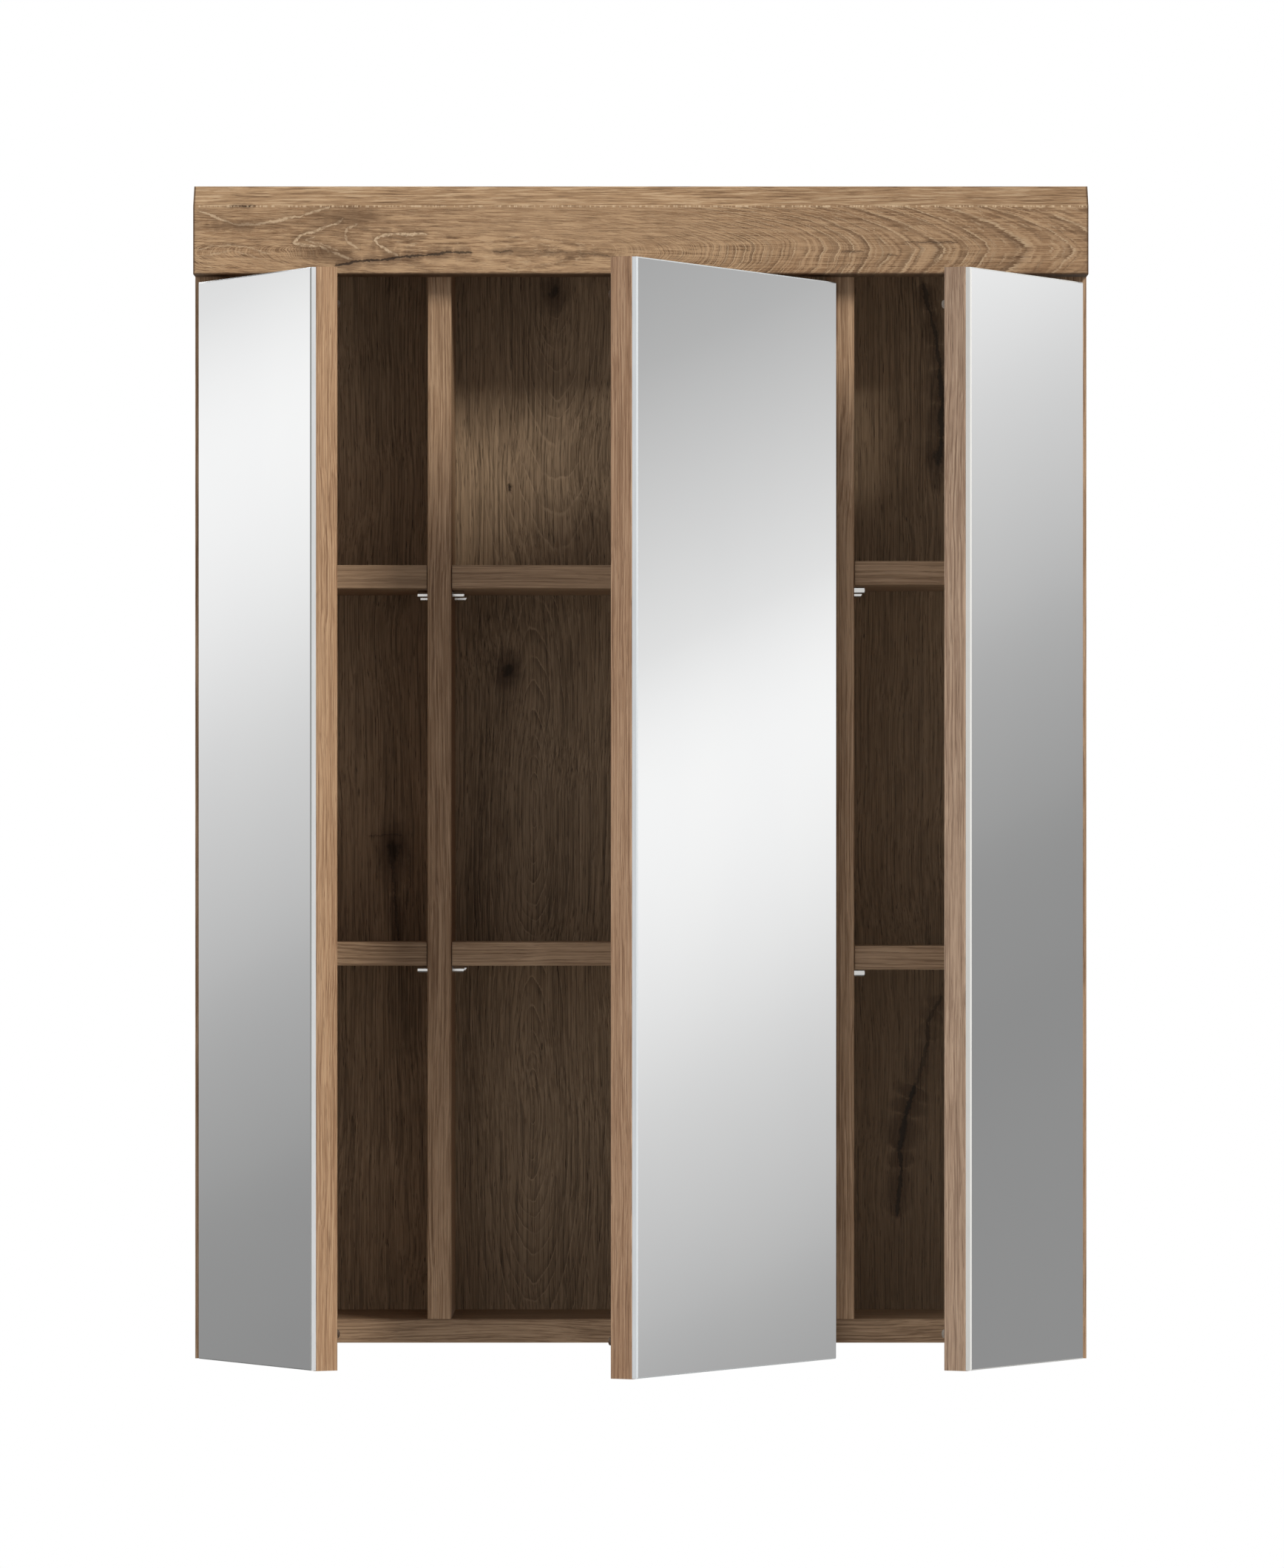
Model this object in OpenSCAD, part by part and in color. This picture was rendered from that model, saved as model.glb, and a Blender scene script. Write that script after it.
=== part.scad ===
// Three-door mirror cabinet for a bathroom wall, with its doors standing open.
// Millimetres. X runs right, the wall is the plane y = 0, the doors face -Y, Z is up.
// The origin is the middle of the line that joins the two wall bracket slots.

/* [Carcass] */
// Width over the two side panels
body_w = 600; // [480:1:900]
// Height of the side panels
body_h = 788; // [600:1:1000]
// Depth of the side panels, from the wall to their front edges
body_d = 144; // [110:1:220]
// Thickness of the side, top, bottom and divider panels
board_t = 16; // [15:0.5:19]
// Clear width of the middle column
middle_w = 255.3; // [200:0.1:300]
// Height of the bottom panel above the lower ends of the side panels
bottom_rise = 10.5; // [6:0.5:30]
// Thickness of the back panel
back_t = 3; // [3:0.5:6]
// Depth of the recess behind the back panel
back_recess = 12; // [10:0.5:25]
// Depth of the grooves that hold the back panel
groove_depth = 6; // [4:0.5:8]
// Play of the back panel at the bottom of each groove
groove_play = 0.5; // [0.2:0.1:1]
// Bevel along the long edges of every board
edge_ease = 0.6; // [0.3:0.1:1.5]

/* [Crown] */
// Height of the crown board
crown_h = 60; // [45:0.5:100]
// How far the crown board stands ahead of the carcass
crown_d = 26; // [24:0.5:40]
// Size of the bevel along the crown's upper front edge
crown_bevel = 14.5; // [5:0.5:20]

/* [Joinery] */
// Diameter of the wooden dowels
dowel_d = 8; // [6:1:10]
// Length of the wooden dowels
dowel_l = 30; // [24:1:35]
// Depth of a dowel hole in the face of a panel
dowel_face_depth = 10; // [8:0.5:12]
// Distance of the first and last dowel from a panel's edge
dowel_margin = 28; // [20:1:35]

/* [Shelves] */
// Thickness of the shelves
shelf_t = 16; // [12:0.5:19]
// Gap at each end and behind a shelf
shelf_gap = 0.5; // [0.3:0.1:1.5]
// How far the shelves stand back from the front edge
shelf_recess = 3; // [1:0.5:30]
// How far the right column's shelves are drilled apart from the others
right_shift = 2.7; // [0:0.1:10]
// Diameter of the shelf pins
pin_d = 5; // [4:0.5:6]
// Length of shelf pin inside the panel
pin_in = 7.2; // [5:0.1:7.2]
// Length of shelf pin under the shelf
pin_out = 8; // [6:0.5:12]
// Distance of the front shelf pins from the front edge
pin_front = 37; // [25:1:50]
// Distance between the front and rear shelf pins
pin_spacing = 73; // [50:1:75]

/* [Doors] */
// Gap between the crown board and the closed doors
crown_gap = 4; // [2:0.5:20]
// Thickness of the door boards
door_t = 16; // [15:0.5:22]
// Thickness of the mirror glass
mirror_t = 4; // [3:0.5:6]
// How far the mirror's edges stand back from the board's edges
mirror_inset = 0.4; // [0.2:0.1:2]
// Bevel along the mirror's front edges
mirror_bevel = 0.8; // [0.3:0.1:2]
// Gap between two neighbouring doors
door_gap = 3; // [2:0.1:5]
// Gap between the closed doors and the carcass
door_back_gap = 2; // [1.6:0.1:4]
// Opening angle of the left door
left_angle = 60; // [0:1:95]
// Opening angle of the middle door
middle_angle = 60; // [0:1:95]
// Opening angle of the right door
right_angle = 60; // [0:1:95]
// Diameter of the door buffers
buffer_d = 5.5; // [4:0.1:6]
// Height of the buffers from the door's ends
buffer_end = 24; // [12:1:60]

/* [Hinges] */
// Diameter of the hinge cups
cup_d = 35; // [26:1:35]
// Depth of the cup bores in the doors
cup_depth = 11.5; // [11:0.1:12.5]
// Distance from the door's edge to the cup
cup_set = 5; // [5:0.1:7]
// Wall of the hinge cups
cup_wall = 0.9; // [0.8:0.1:1]
// Distance of the hinges from the door's ends
hinge_end = 90; // [70:1:140]
// Angle that a hinge link turns back for each degree that its door opens
link_ratio = 0.3; // [0.25:0.01:0.32]
// Distance of the arm pivot behind the front edge of the carcass
arm_pivot_back = 24; // [23:0.5:26]
// Distance of the arm pivot from the door's hinge edge
arm_pivot_in = 30; // [29:0.5:31]
// Distance of the cup pivot from the door's hinge edge
cup_pivot_in = 9.6; // [9.4:0.1:10.4]
// Depth of the cup pivot in the door
cup_pivot_deep = 5; // [4.6:0.1:5.4]
// Diameter of the hinge pins
hinge_pin_d = 2.4; // [2:0.1:2.6]
// Radial play of a hinge pin in its link
pin_play = 0.05; // [0.02:0.01:0.1]
// Thickness of the hinge sheet metal
sheet_t = 1.4; // [1:0.1:1.6]
// Thickness of the mounting plates
plate_t = 2; // [1.5:0.1:3]
// Distance of the mounting plate screws from the front edge
plate_back = 37; // [37:1:40]
// Distance between the two screws of a mounting plate
plate_pitch = 32; // [32:1:40]
// Height of the hinge arm above the panel
arm_h = 13; // [12:0.5:15]

/* [Wall brackets] */
// Thickness of the wall brackets
bracket_t = 2; // [1.5:0.1:3]
// Height of the wall brackets
bracket_h = 36; // [30:1:50]
// Length of the bracket's leg along the wall
bracket_l = 40; // [36:1:50]
// Width of the slot for the wall screw
slot_w = 6.5; // [5:0.1:8]
// Length of the slot for the wall screw
slot_l = 24; // [15:1:28]
// Distance of the slot's middle from the side panel
slot_in = 22; // [20:0.5:24]
// Distance of the slots from the top of the cabinet
slot_down = 46; // [42:1:80]
// Diameter of the access holes in the back panel
access_d = 16; // [14:1:20]

/* [Hidden] */
$fn = 48;

// Small amount by which a cutter passes through the face that it cuts
cut = 1;

// Carcass levels, measured up from the lower ends of the side panels
side_x = body_w / 2 - board_t;
divider_x = middle_w / 2 + board_t / 2;
bottom_z = bottom_rise;
floor_z = bottom_z + board_t;
ceiling_z = body_h - board_t;
crown_z = body_h - crown_h;
slot_z = body_h - slot_down;
slot_x = side_x - slot_in;
front_y = -body_d;
groove_y = -back_recess - back_t;

// Columns: 0 left, 1 middle, 2 right
LEFT = 0;
MIDDLE = 1;
RIGHT = 2;
column_low = [-side_x, -divider_x + board_t / 2, divider_x + board_t / 2];
column_high = [-divider_x - board_t / 2, divider_x - board_t / 2, side_x];

// Shelves: 0 lower, 1 upper. The columns are split into three equal cells.
cell_h = (ceiling_z - floor_z - 2 * shelf_t) / 3;
function shelf_z(col, level) =
    floor_z + cell_h + level * (cell_h + shelf_t)
    + (col == RIGHT ? (2 * level - 1) * right_shift : 0);
pin_hole_extra = 0.3;
pin_nose = 0.5;
pin_rows = [front_y + pin_front, front_y + pin_front + pin_spacing];

// Doors: their height, then the hinge edge's x and side, the width and the angle
door_h = body_h - crown_h - crown_gap;
door_edge_x = divider_x + door_gap / 2;
side_door_w = body_w / 2 - door_edge_x;
middle_door_w = 2 * (divider_x - door_gap / 2);
hinge_x = [-body_w / 2, divider_x - door_gap / 2, body_w / 2];
hinge_side = [-1, 1, 1];
door_w = [side_door_w, middle_door_w, side_door_w];
door_angle = [left_angle, middle_angle, right_angle];
door_face = door_back_gap + door_t;
buffer_t = door_back_gap - 0.1;
buffer_in = (board_t - door_gap) / 4;

// Hinge pivots in the door's own plan, u along the door and v towards the viewer
arm_pivot = [arm_pivot_in, -arm_pivot_back];
cup_pivot = [cup_pivot_in, door_back_gap + cup_pivot_deep];
cup_u = cup_set + cup_d / 2;
cup_floor_v = door_back_gap + cup_depth;
cup_r = cup_d / 2 - 0.05;
hinge_z = [hinge_end, door_h - hinge_end];
// The panel face that carries each door's hinges, in the same plan
panel_u = [board_t, (board_t - door_gap) / 2, board_t];

// Hinge sheet metal, as half widths about the middle of each hinge
link_in = 3.4;
link_out = link_in + sheet_t + 0.2;
cheek_in = link_out + 0.4;
cheek_out = cheek_in + sheet_t;
lug_out = cheek_in + 2;
link_half = 1.8;
link_knee = [cup_pivot[0] + 8.8, cup_floor_v - cup_wall - 2.3];
arm_eye_r = 2.8;
cup_eye_r = 2.5;
head_r = 4.4;
plate_w = 11;
plate_head = 6.2;
flange_t = 1.2;
flange_w = 18;
flange_l = 58;
flange_screw_z = 24;
flange_screw_u = cup_u + 4;
rim_notch = 4;
screw_play = 0.1;

// Lifts the lower ends of the side panels to their place under the origin
module hung() {
    translate([0, 0, -slot_z])
        children();
}

// A bar of the given profile half planes, bevelled along its four long edges
module eased_section(a, b, ease) {
    polygon([
        [a[0] + ease, a[1]], [b[0] - ease, a[1]],
        [b[0], a[1] + ease], [b[0], b[1] - ease],
        [b[0] - ease, b[1]], [a[0] + ease, b[1]],
        [a[0], b[1] - ease], [a[0], a[1] + ease]
    ]);
}

// A board between two corners whose long edges run up
module upright_board(low, high, ease = edge_ease) {
    translate([0, 0, low[2]])
        linear_extrude(high[2] - low[2])
            eased_section([low[0], low[1]], [high[0], high[1]], ease);
}

// A board between two corners whose long edges run across
module level_board(low, high, ease = edge_ease) {
    translate([low[0], 0, 0])
        rotate([90, 0, 90])
            linear_extrude(high[0] - low[0])
                eased_section([low[1], low[2]], [high[1], high[2]], ease);
}

// A round bar from a point along X, Y or Z
module bar_x(p, d, l) {
    translate(p)
        rotate([0, 90, 0])
            cylinder(d = d, h = l);
}

module bar_y(p, d, l) {
    translate(p)
        rotate([-90, 0, 0])
            cylinder(d = d, h = l);
}

module bar_z(p, d, l) {
    translate(p)
        cylinder(d = d, h = l);
}

// Dowels

dowel_rows = [front_y + dowel_margin, groove_y - dowel_margin];
function dowel_end_depth() = dowel_l - dowel_face_depth;

// Dowels between a level panel's ends and the side panels
module side_dowels(sides, z, grow = 0) {
    for (s = sides, y = dowel_rows)
        bar_x([s * side_x - (s < 0 ? dowel_face_depth : dowel_end_depth()) - grow, y, z],
            dowel_d, dowel_l + 2 * grow);
}

// Dowels between a divider's ends and the top and bottom panels
module divider_dowels(xs, grow = 0) {
    for (x = xs, y = dowel_rows) {
        bar_z([x, y, floor_z - dowel_face_depth - grow], dowel_d, dowel_l + 2 * grow);
        bar_z([x, y, ceiling_z - dowel_end_depth() - grow], dowel_d, dowel_l + 2 * grow);
    }
}

crown_dowel_z = [crown_z + crown_h * 0.3, crown_z + crown_h * 0.7];

// Dowels between the crown board and the front edges of the side panels
module crown_dowels(sides, grow = 0) {
    for (s = sides, z = crown_dowel_z)
        bar_y([s * (body_w - board_t) / 2, front_y - dowel_l / 2 - grow, z],
            dowel_d, dowel_l + 2 * grow);
}

// Carcass

module shelf_pin_holes(col, x, dir) {
    depth = pin_in + pin_hole_extra;
    for (level = [0, 1], y = pin_rows)
        bar_x([dir > 0 ? x - depth : x - cut, y, shelf_z(col, level) - pin_d / 2],
            pin_d, depth + cut);
}

module back_groove_cut(low_x, high_x, low_z, high_z) {
    translate([low_x, groove_y, low_z])
        cube([high_x - low_x, back_t, high_z - low_z]);
}

module plate_screw_holes(door) {
    at_hinges(door)
        for (s = [-1, 1])
            bar_x([panel_u[door] - plate_screw_l, -plate_back, s * plate_pitch / 2],
                screw_d - screw_play, plate_screw_l + cut);
}

module side_panel(s) {
    col = s < 0 ? LEFT : RIGHT;
    color("tan") hung()
        difference() {
            upright_board([min(s * side_x, s * body_w / 2), front_y, 0],
                [max(s * side_x, s * body_w / 2), 0, body_h]);
            back_groove_cut(min(s * (side_x - cut), s * (side_x + groove_depth)),
                max(s * (side_x - cut), s * (side_x + groove_depth)),
                floor_z - groove_depth, ceiling_z + groove_depth);
            side_dowels([s], bottom_z + board_t / 2);
            side_dowels([s], ceiling_z + board_t / 2);
            crown_dowels([s]);
            shelf_pin_holes(col, s * side_x, -s);
            plate_screw_holes(col);
            bracket_screw_set(s, bracket_hole = true);
        }
}

module left_side_panel() {
    side_panel(-1);
}

module right_side_panel() {
    side_panel(1);
}

module top_panel() {
    color("tan") hung()
        difference() {
            level_board([-side_x, front_y, ceiling_z], [side_x, 0, body_h]);
            back_groove_cut(-side_x - cut, side_x + cut, ceiling_z - cut, ceiling_z + groove_depth);
            side_dowels([-1, 1], ceiling_z + board_t / 2);
            divider_dowels([-divider_x, divider_x]);
        }
}

module bottom_panel() {
    color("tan") hung()
        difference() {
            level_board([-side_x, front_y, bottom_z], [side_x, 0, floor_z]);
            back_groove_cut(-side_x - cut, side_x + cut, floor_z - groove_depth, floor_z + cut);
            side_dowels([-1, 1], bottom_z + board_t / 2);
            divider_dowels([-divider_x, divider_x]);
        }
}

module divider(s) {
    x = s * divider_x;
    color("tan") hung()
        difference() {
            upright_board([x - board_t / 2, front_y, floor_z],
                [x + board_t / 2, groove_y, ceiling_z]);
            divider_dowels([x]);
            shelf_pin_holes(s < 0 ? LEFT : MIDDLE, x - board_t / 2, -1);
            shelf_pin_holes(s < 0 ? MIDDLE : RIGHT, x + board_t / 2, 1);
            if (s > 0)
                plate_screw_holes(MIDDLE);
        }
}

module left_divider() {
    divider(-1);
}

module right_divider() {
    divider(1);
}

module back_panel() {
    x = side_x + groove_depth - groove_play;
    low = floor_z - groove_depth + groove_play;
    high = ceiling_z + groove_depth - groove_play;
    color("saddlebrown") hung()
        difference() {
            translate([-x, groove_y, low])
                cube([2 * x, back_t, high - low]);
            for (s = [-1, 1])
                bar_y([s * slot_x, groove_y - cut, slot_z], access_d, back_t + 2 * cut);
        }
}

module crown() {
    back = front_y;
    front = front_y - crown_d;
    color("tan") hung()
        difference() {
            translate([-body_w / 2, 0, 0])
                rotate([90, 0, 90])
                    linear_extrude(body_w)
                        polygon([
                            [back, crown_z], [back, body_h],
                            [front + crown_bevel, body_h], [front, body_h - crown_bevel],
                            [front, crown_z + edge_ease], [front + edge_ease, crown_z]
                        ]);
            crown_dowels([-1, 1]);
        }
}

module carcass_dowels() {
    color("burlywood") hung() {
        side_dowels([-1, 1], bottom_z + board_t / 2);
        side_dowels([-1, 1], ceiling_z + board_t / 2);
        divider_dowels([-divider_x, divider_x]);
        crown_dowels([-1, 1]);
    }
}

// Shelves

module shelf(col, level) {
    z = shelf_z(col, level);
    color("tan") hung()
        level_board([column_low[col] + shelf_gap, front_y + shelf_recess, z],
            [column_high[col] - shelf_gap, groove_y - shelf_gap, z + shelf_t]);
}

module left_upper_shelf() {
    shelf(LEFT, 1);
}

module left_lower_shelf() {
    shelf(LEFT, 0);
}

module middle_upper_shelf() {
    shelf(MIDDLE, 1);
}

module middle_lower_shelf() {
    shelf(MIDDLE, 0);
}

module right_upper_shelf() {
    shelf(RIGHT, 1);
}

module right_lower_shelf() {
    shelf(RIGHT, 0);
}

// One pin, from the bottom of its hole to a bevelled nose under the shelf
module shelf_pin() {
    straight = pin_in + pin_out - pin_nose;
    bar_x([-pin_in, 0, 0], pin_d, straight);
    translate([straight - pin_in, 0, 0])
        rotate([0, 90, 0])
            cylinder(d1 = pin_d, d2 = pin_d - 2 * pin_nose, h = pin_nose);
}

module shelf_pins(col) {
    color("silver") hung()
        for (level = [0, 1], y = pin_rows) {
            z = shelf_z(col, level) - pin_d / 2;
            translate([column_low[col], y, z])
                shelf_pin();
            translate([column_high[col], y, z])
                mirror([1, 0, 0])
                    shelf_pin();
        }
}

module left_shelf_pins() {
    shelf_pins(LEFT);
}

module middle_shelf_pins() {
    shelf_pins(MIDDLE);
}

module right_shelf_pins() {
    shelf_pins(RIGHT);
}

// Door motion. The plan of a door has its hinge edge at u = 0 and the carcass front at
// v = 0. A link turns about the arm pivot, and the door turns about the cup pivot that
// the link carries.

function turned(p, a) = [p[0] * cos(a) - p[1] * sin(a), p[0] * sin(a) + p[1] * cos(a)];
function link_angle(door) = -link_ratio * door_angle[door];
function moved_cup_pivot(door) = arm_pivot + turned(cup_pivot - arm_pivot, link_angle(door));

module door_plan(door) {
    translate([hinge_x[door], front_y, 0])
        if (hinge_side[door] < 0)
            mirror([0, 1, 0]) children();
        else
            rotate(180) children();
}

module at_hinges(door) {
    door_plan(door)
        for (z = hinge_z)
            translate([0, 0, z])
                children();
}

// Moves what rides on a door from its closed place to its open place
module swung(door) {
    p = moved_cup_pivot(door);
    door_plan(door)
        translate([p[0], p[1], 0])
            rotate(door_angle[door])
                translate([-cup_pivot[0], -cup_pivot[1], 0])
                    children();
}

module swung_hinges(door) {
    swung(door)
        for (z = hinge_z)
            translate([0, 0, z])
                children();
}

module linked_hinges(door) {
    at_hinges(door)
        translate([arm_pivot[0], arm_pivot[1], 0])
            rotate(link_angle(door))
                translate([-arm_pivot[0], -arm_pivot[1], 0])
                    children();
}

// Doors

cup_screw_l = 12;
plate_screw_l = 12;
screw_d = 3.5;

module door_board(door) {
    color("tan") hung()
        swung(door)
            difference() {
                upright_board([0, door_back_gap, 0], [door_w[door], door_face, door_h]);
                for (z = hinge_z) {
                    bar_y([cup_u, door_back_gap - cut, z], cup_d, cup_depth + cut);
                    for (s = [-1, 1])
                        bar_y([flange_screw_u, door_back_gap - cut, z + s * flange_screw_z],
                            screw_d - screw_play, cup_screw_l + cut);
                }
            }
}

module left_door_board() {
    door_board(LEFT);
}

module middle_door_board() {
    door_board(MIDDLE);
}

module right_door_board() {
    door_board(RIGHT);
}

// A glass plate that lies on the board, with all four front edges bevelled
module mirror_plate(door) {
    low_u = mirror_inset;
    high_u = door_w[door] - mirror_inset;
    low_z = mirror_inset;
    high_z = door_h - mirror_inset;
    front = door_face + mirror_t;
    color("lightsteelblue") hung()
        swung(door)
            intersection() {
                translate([0, 0, low_z])
                    linear_extrude(high_z - low_z)
                        polygon([
                            [low_u, door_face], [high_u, door_face],
                            [high_u, front - mirror_bevel], [high_u - mirror_bevel, front],
                            [low_u + mirror_bevel, front], [low_u, front - mirror_bevel]
                        ]);
                translate([low_u - cut, 0, 0])
                    rotate([90, 0, 90])
                        linear_extrude(high_u - low_u + 2 * cut)
                            polygon([
                                [door_face, low_z], [front - mirror_bevel, low_z],
                                [front, low_z + mirror_bevel], [front, high_z - mirror_bevel],
                                [front - mirror_bevel, high_z], [door_face, high_z]
                            ]);
            }
}

module left_mirror() {
    mirror_plate(LEFT);
}

module middle_mirror() {
    mirror_plate(MIDDLE);
}

module right_mirror() {
    mirror_plate(RIGHT);
}

// Soft discs behind the door's free corners, each over a divider's front edge
module door_buffers(door) {
    color("white") hung()
        swung(door)
            for (z = [buffer_end, door_h - buffer_end])
                bar_y([door_w[door] - buffer_in, door_back_gap - buffer_t, z],
                    buffer_d, buffer_t);
}

module left_door_buffers() {
    door_buffers(LEFT);
}

module middle_door_buffers() {
    door_buffers(MIDDLE);
}

module right_door_buffers() {
    door_buffers(RIGHT);
}

// Hinges

arm_screw_d = 4;
arm_head_d = 7.6;
arm_head_h = 1.6;
rib_h = 5;
rib_half = cheek_in - 0.2;
bend_lead = 7;
bend_run = 10;
bend_front = -arm_pivot_back - bend_lead;
bend_rear = bend_front - bend_run;
arm_screw_margin = 1;
arm_screw_pitch = 12;
arm_screw_front = bend_rear - arm_head_d / 2 - arm_screw_margin;
arm_screw_v = [arm_screw_front, arm_screw_front - arm_screw_pitch];
plate_tail = 6;
arm_tail = 4;
plate_rear = arm_screw_v[1] - plate_tail;
plate_front = -plate_back + plate_w;
arm_rear = plate_rear - arm_tail;

// Mounting plate: a base with two wings, and a rib that the arm sits over
module hinge_plate(door) {
    face = panel_u[door];
    difference() {
        union() {
            translate([face, plate_rear, -cheek_out])
                cube([plate_t, plate_front - plate_rear, 2 * cheek_out]);
            translate([face, -plate_back - plate_w / 2, -plate_pitch / 2])
                cube([plate_t, plate_w, plate_pitch]);
            for (s = [-1, 1])
                bar_x([face, -plate_back, s * plate_pitch / 2], plate_w, plate_t);
            translate([face + plate_t, plate_rear + 2, -rib_half])
                cube([rib_h, plate_front - plate_rear - 4, 2 * rib_half]);
        }
        for (s = [-1, 1]) {
            bar_x([face - cut, -plate_back, s * plate_pitch / 2], screw_d, plate_t + 2 * cut);
            translate([face, -plate_back, s * plate_pitch / 2])
                rotate([0, 90, 0])
                    cylinder(d1 = screw_d, d2 = plate_head, h = plate_t);
        }
        for (v = arm_screw_v)
            bar_x([face + plate_t, v, 0], arm_screw_d, rib_h + cut);
    }
}

module hinge_plates(door) {
    color("silver") hung()
        at_hinges(door)
            hinge_plate(door);
}

module left_hinge_plates() {
    hinge_plates(LEFT);
}

module middle_hinge_plates() {
    hinge_plates(MIDDLE);
}

module right_hinge_plates() {
    hinge_plates(RIGHT);
}

// Side view of an arm: low at the plate, cranked up to the pivot at its head
module arm_outline(door, drop) {
    face = panel_u[door];
    top = face + arm_h - drop;
    head_top = arm_pivot[0] + head_r - drop;
    polygon([
        [face + plate_t + 0.3, arm_rear], [top, arm_rear],
        [top, bend_rear], [head_top, bend_front],
        [head_top, -arm_pivot_back], [arm_pivot[0] - head_r, -arm_pivot_back],
        [arm_pivot[0] - head_r, bend_front], [face + plate_t + 0.3, bend_rear - 2]
    ]);
}

module hinge_arm(door) {
    face = panel_u[door];
    difference() {
        union() {
            translate([0, 0, -cheek_out])
                linear_extrude(2 * cheek_out)
                    arm_outline(door, 0);
            bar_z([arm_pivot[0], arm_pivot[1], -cheek_out], 2 * head_r, 2 * cheek_out);
        }
        // The hollow between the cheeks stays open at the head and towards the panel
        translate([0, 0, -cheek_in])
            linear_extrude(2 * cheek_in)
                union() {
                    arm_outline(door, sheet_t);
                    translate([face, arm_rear - cut])
                        square([arm_h - sheet_t, bend_rear - arm_rear + cut]);
                    translate([arm_pivot[0] - head_r - cut, bend_front])
                        square([2 * head_r + cut - sheet_t, -arm_pivot_back - bend_front]);
                }
        translate([arm_pivot[0] - head_r - cut, -arm_pivot_back - 1, -cheek_in])
            cube([2 * (head_r + cut), head_r + 2, 2 * cheek_in]);
        bar_z([arm_pivot[0], arm_pivot[1], -cheek_out - cut], hinge_pin_d, 2 * (cheek_out + cut));
        for (v = arm_screw_v)
            bar_x([face + arm_h - sheet_t - cut, v, 0], arm_screw_d + screw_play,
                sheet_t + 2 * cut);
    }
}

module hinge_arms(door) {
    color("silver") hung()
        at_hinges(door)
            hinge_arm(door);
}

module left_hinge_arms() {
    hinge_arms(LEFT);
}

module middle_hinge_arms() {
    hinge_arms(MIDDLE);
}

module right_hinge_arms() {
    hinge_arms(RIGHT);
}

module arm_pins(door) {
    color("dimgray") hung()
        at_hinges(door)
            bar_z([arm_pivot[0], arm_pivot[1], -cheek_out], hinge_pin_d, 2 * cheek_out);
}

module left_arm_pins() {
    arm_pins(LEFT);
}

module middle_arm_pins() {
    arm_pins(MIDDLE);
}

module right_arm_pins() {
    arm_pins(RIGHT);
}

// A link is bent once, at its knee, so its outline runs along two straight legs
leg_a = (link_knee - arm_pivot) / norm(link_knee - arm_pivot);
leg_b = (cup_pivot - link_knee) / norm(cup_pivot - link_knee);
left_a = [-leg_a[1], leg_a[0]];
left_b = [-leg_b[1], leg_b[0]];
mitre = (left_a + left_b) / (1 + left_a * left_b);
bend_from = atan2(-left_b[1], -left_b[0]);
bend_turn = acos(left_a * left_b);
bend_steps = 4;
web_from = 9;
web_to = 4.2;

// Outline of a link, from the arm pivot over the cup's rim to the cup pivot
module link_outline() {
    polygon(concat(
        [arm_pivot + link_half * left_a, link_knee + link_half * mitre,
            cup_pivot + link_half * left_b, cup_pivot - link_half * left_b],
        [for (i = [0:bend_steps])
            let (a = bend_from - i * bend_turn / bend_steps)
                link_knee + link_half * [cos(a), sin(a)]],
        [arm_pivot - link_half * left_a]
    ));
    translate(arm_pivot)
        circle(r = arm_eye_r);
    translate(cup_pivot)
        circle(r = cup_eye_r);
}

// The space between a link's two plates, which leaves the web on its outer side
module link_hollow() {
    open = link_half + cut;
    shut = link_half - sheet_t;
    web_a = arm_pivot + web_from * leg_a;
    web_b = cup_pivot - web_to * leg_b;
    polygon([
        arm_pivot + open * left_a, link_knee + open * mitre, cup_pivot + open * left_b,
        cup_pivot - open * left_b, web_b - open * left_b, web_b - shut * left_b,
        link_knee - shut * mitre, web_a - shut * left_a, web_a - open * left_a,
        arm_pivot - open * left_a
    ]);
    translate(arm_pivot)
        circle(r = arm_eye_r + cut);
    translate(cup_pivot)
        circle(r = cup_eye_r + cut);
}

module hinge_link() {
    difference() {
        translate([0, 0, -link_out])
            linear_extrude(2 * link_out)
                link_outline();
        translate([0, 0, -link_in])
            linear_extrude(2 * link_in)
                link_hollow();
        for (p = [arm_pivot, cup_pivot])
            bar_z([p[0], p[1], -link_out - cut], hinge_pin_d + 2 * pin_play,
                2 * (link_out + cut));
    }
}

module hinge_links(door) {
    color("gainsboro") hung()
        linked_hinges(door)
            hinge_link();
}

module left_hinge_links() {
    hinge_links(LEFT);
}

module middle_hinge_links() {
    hinge_links(MIDDLE);
}

module right_hinge_links() {
    hinge_links(RIGHT);
}

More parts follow.
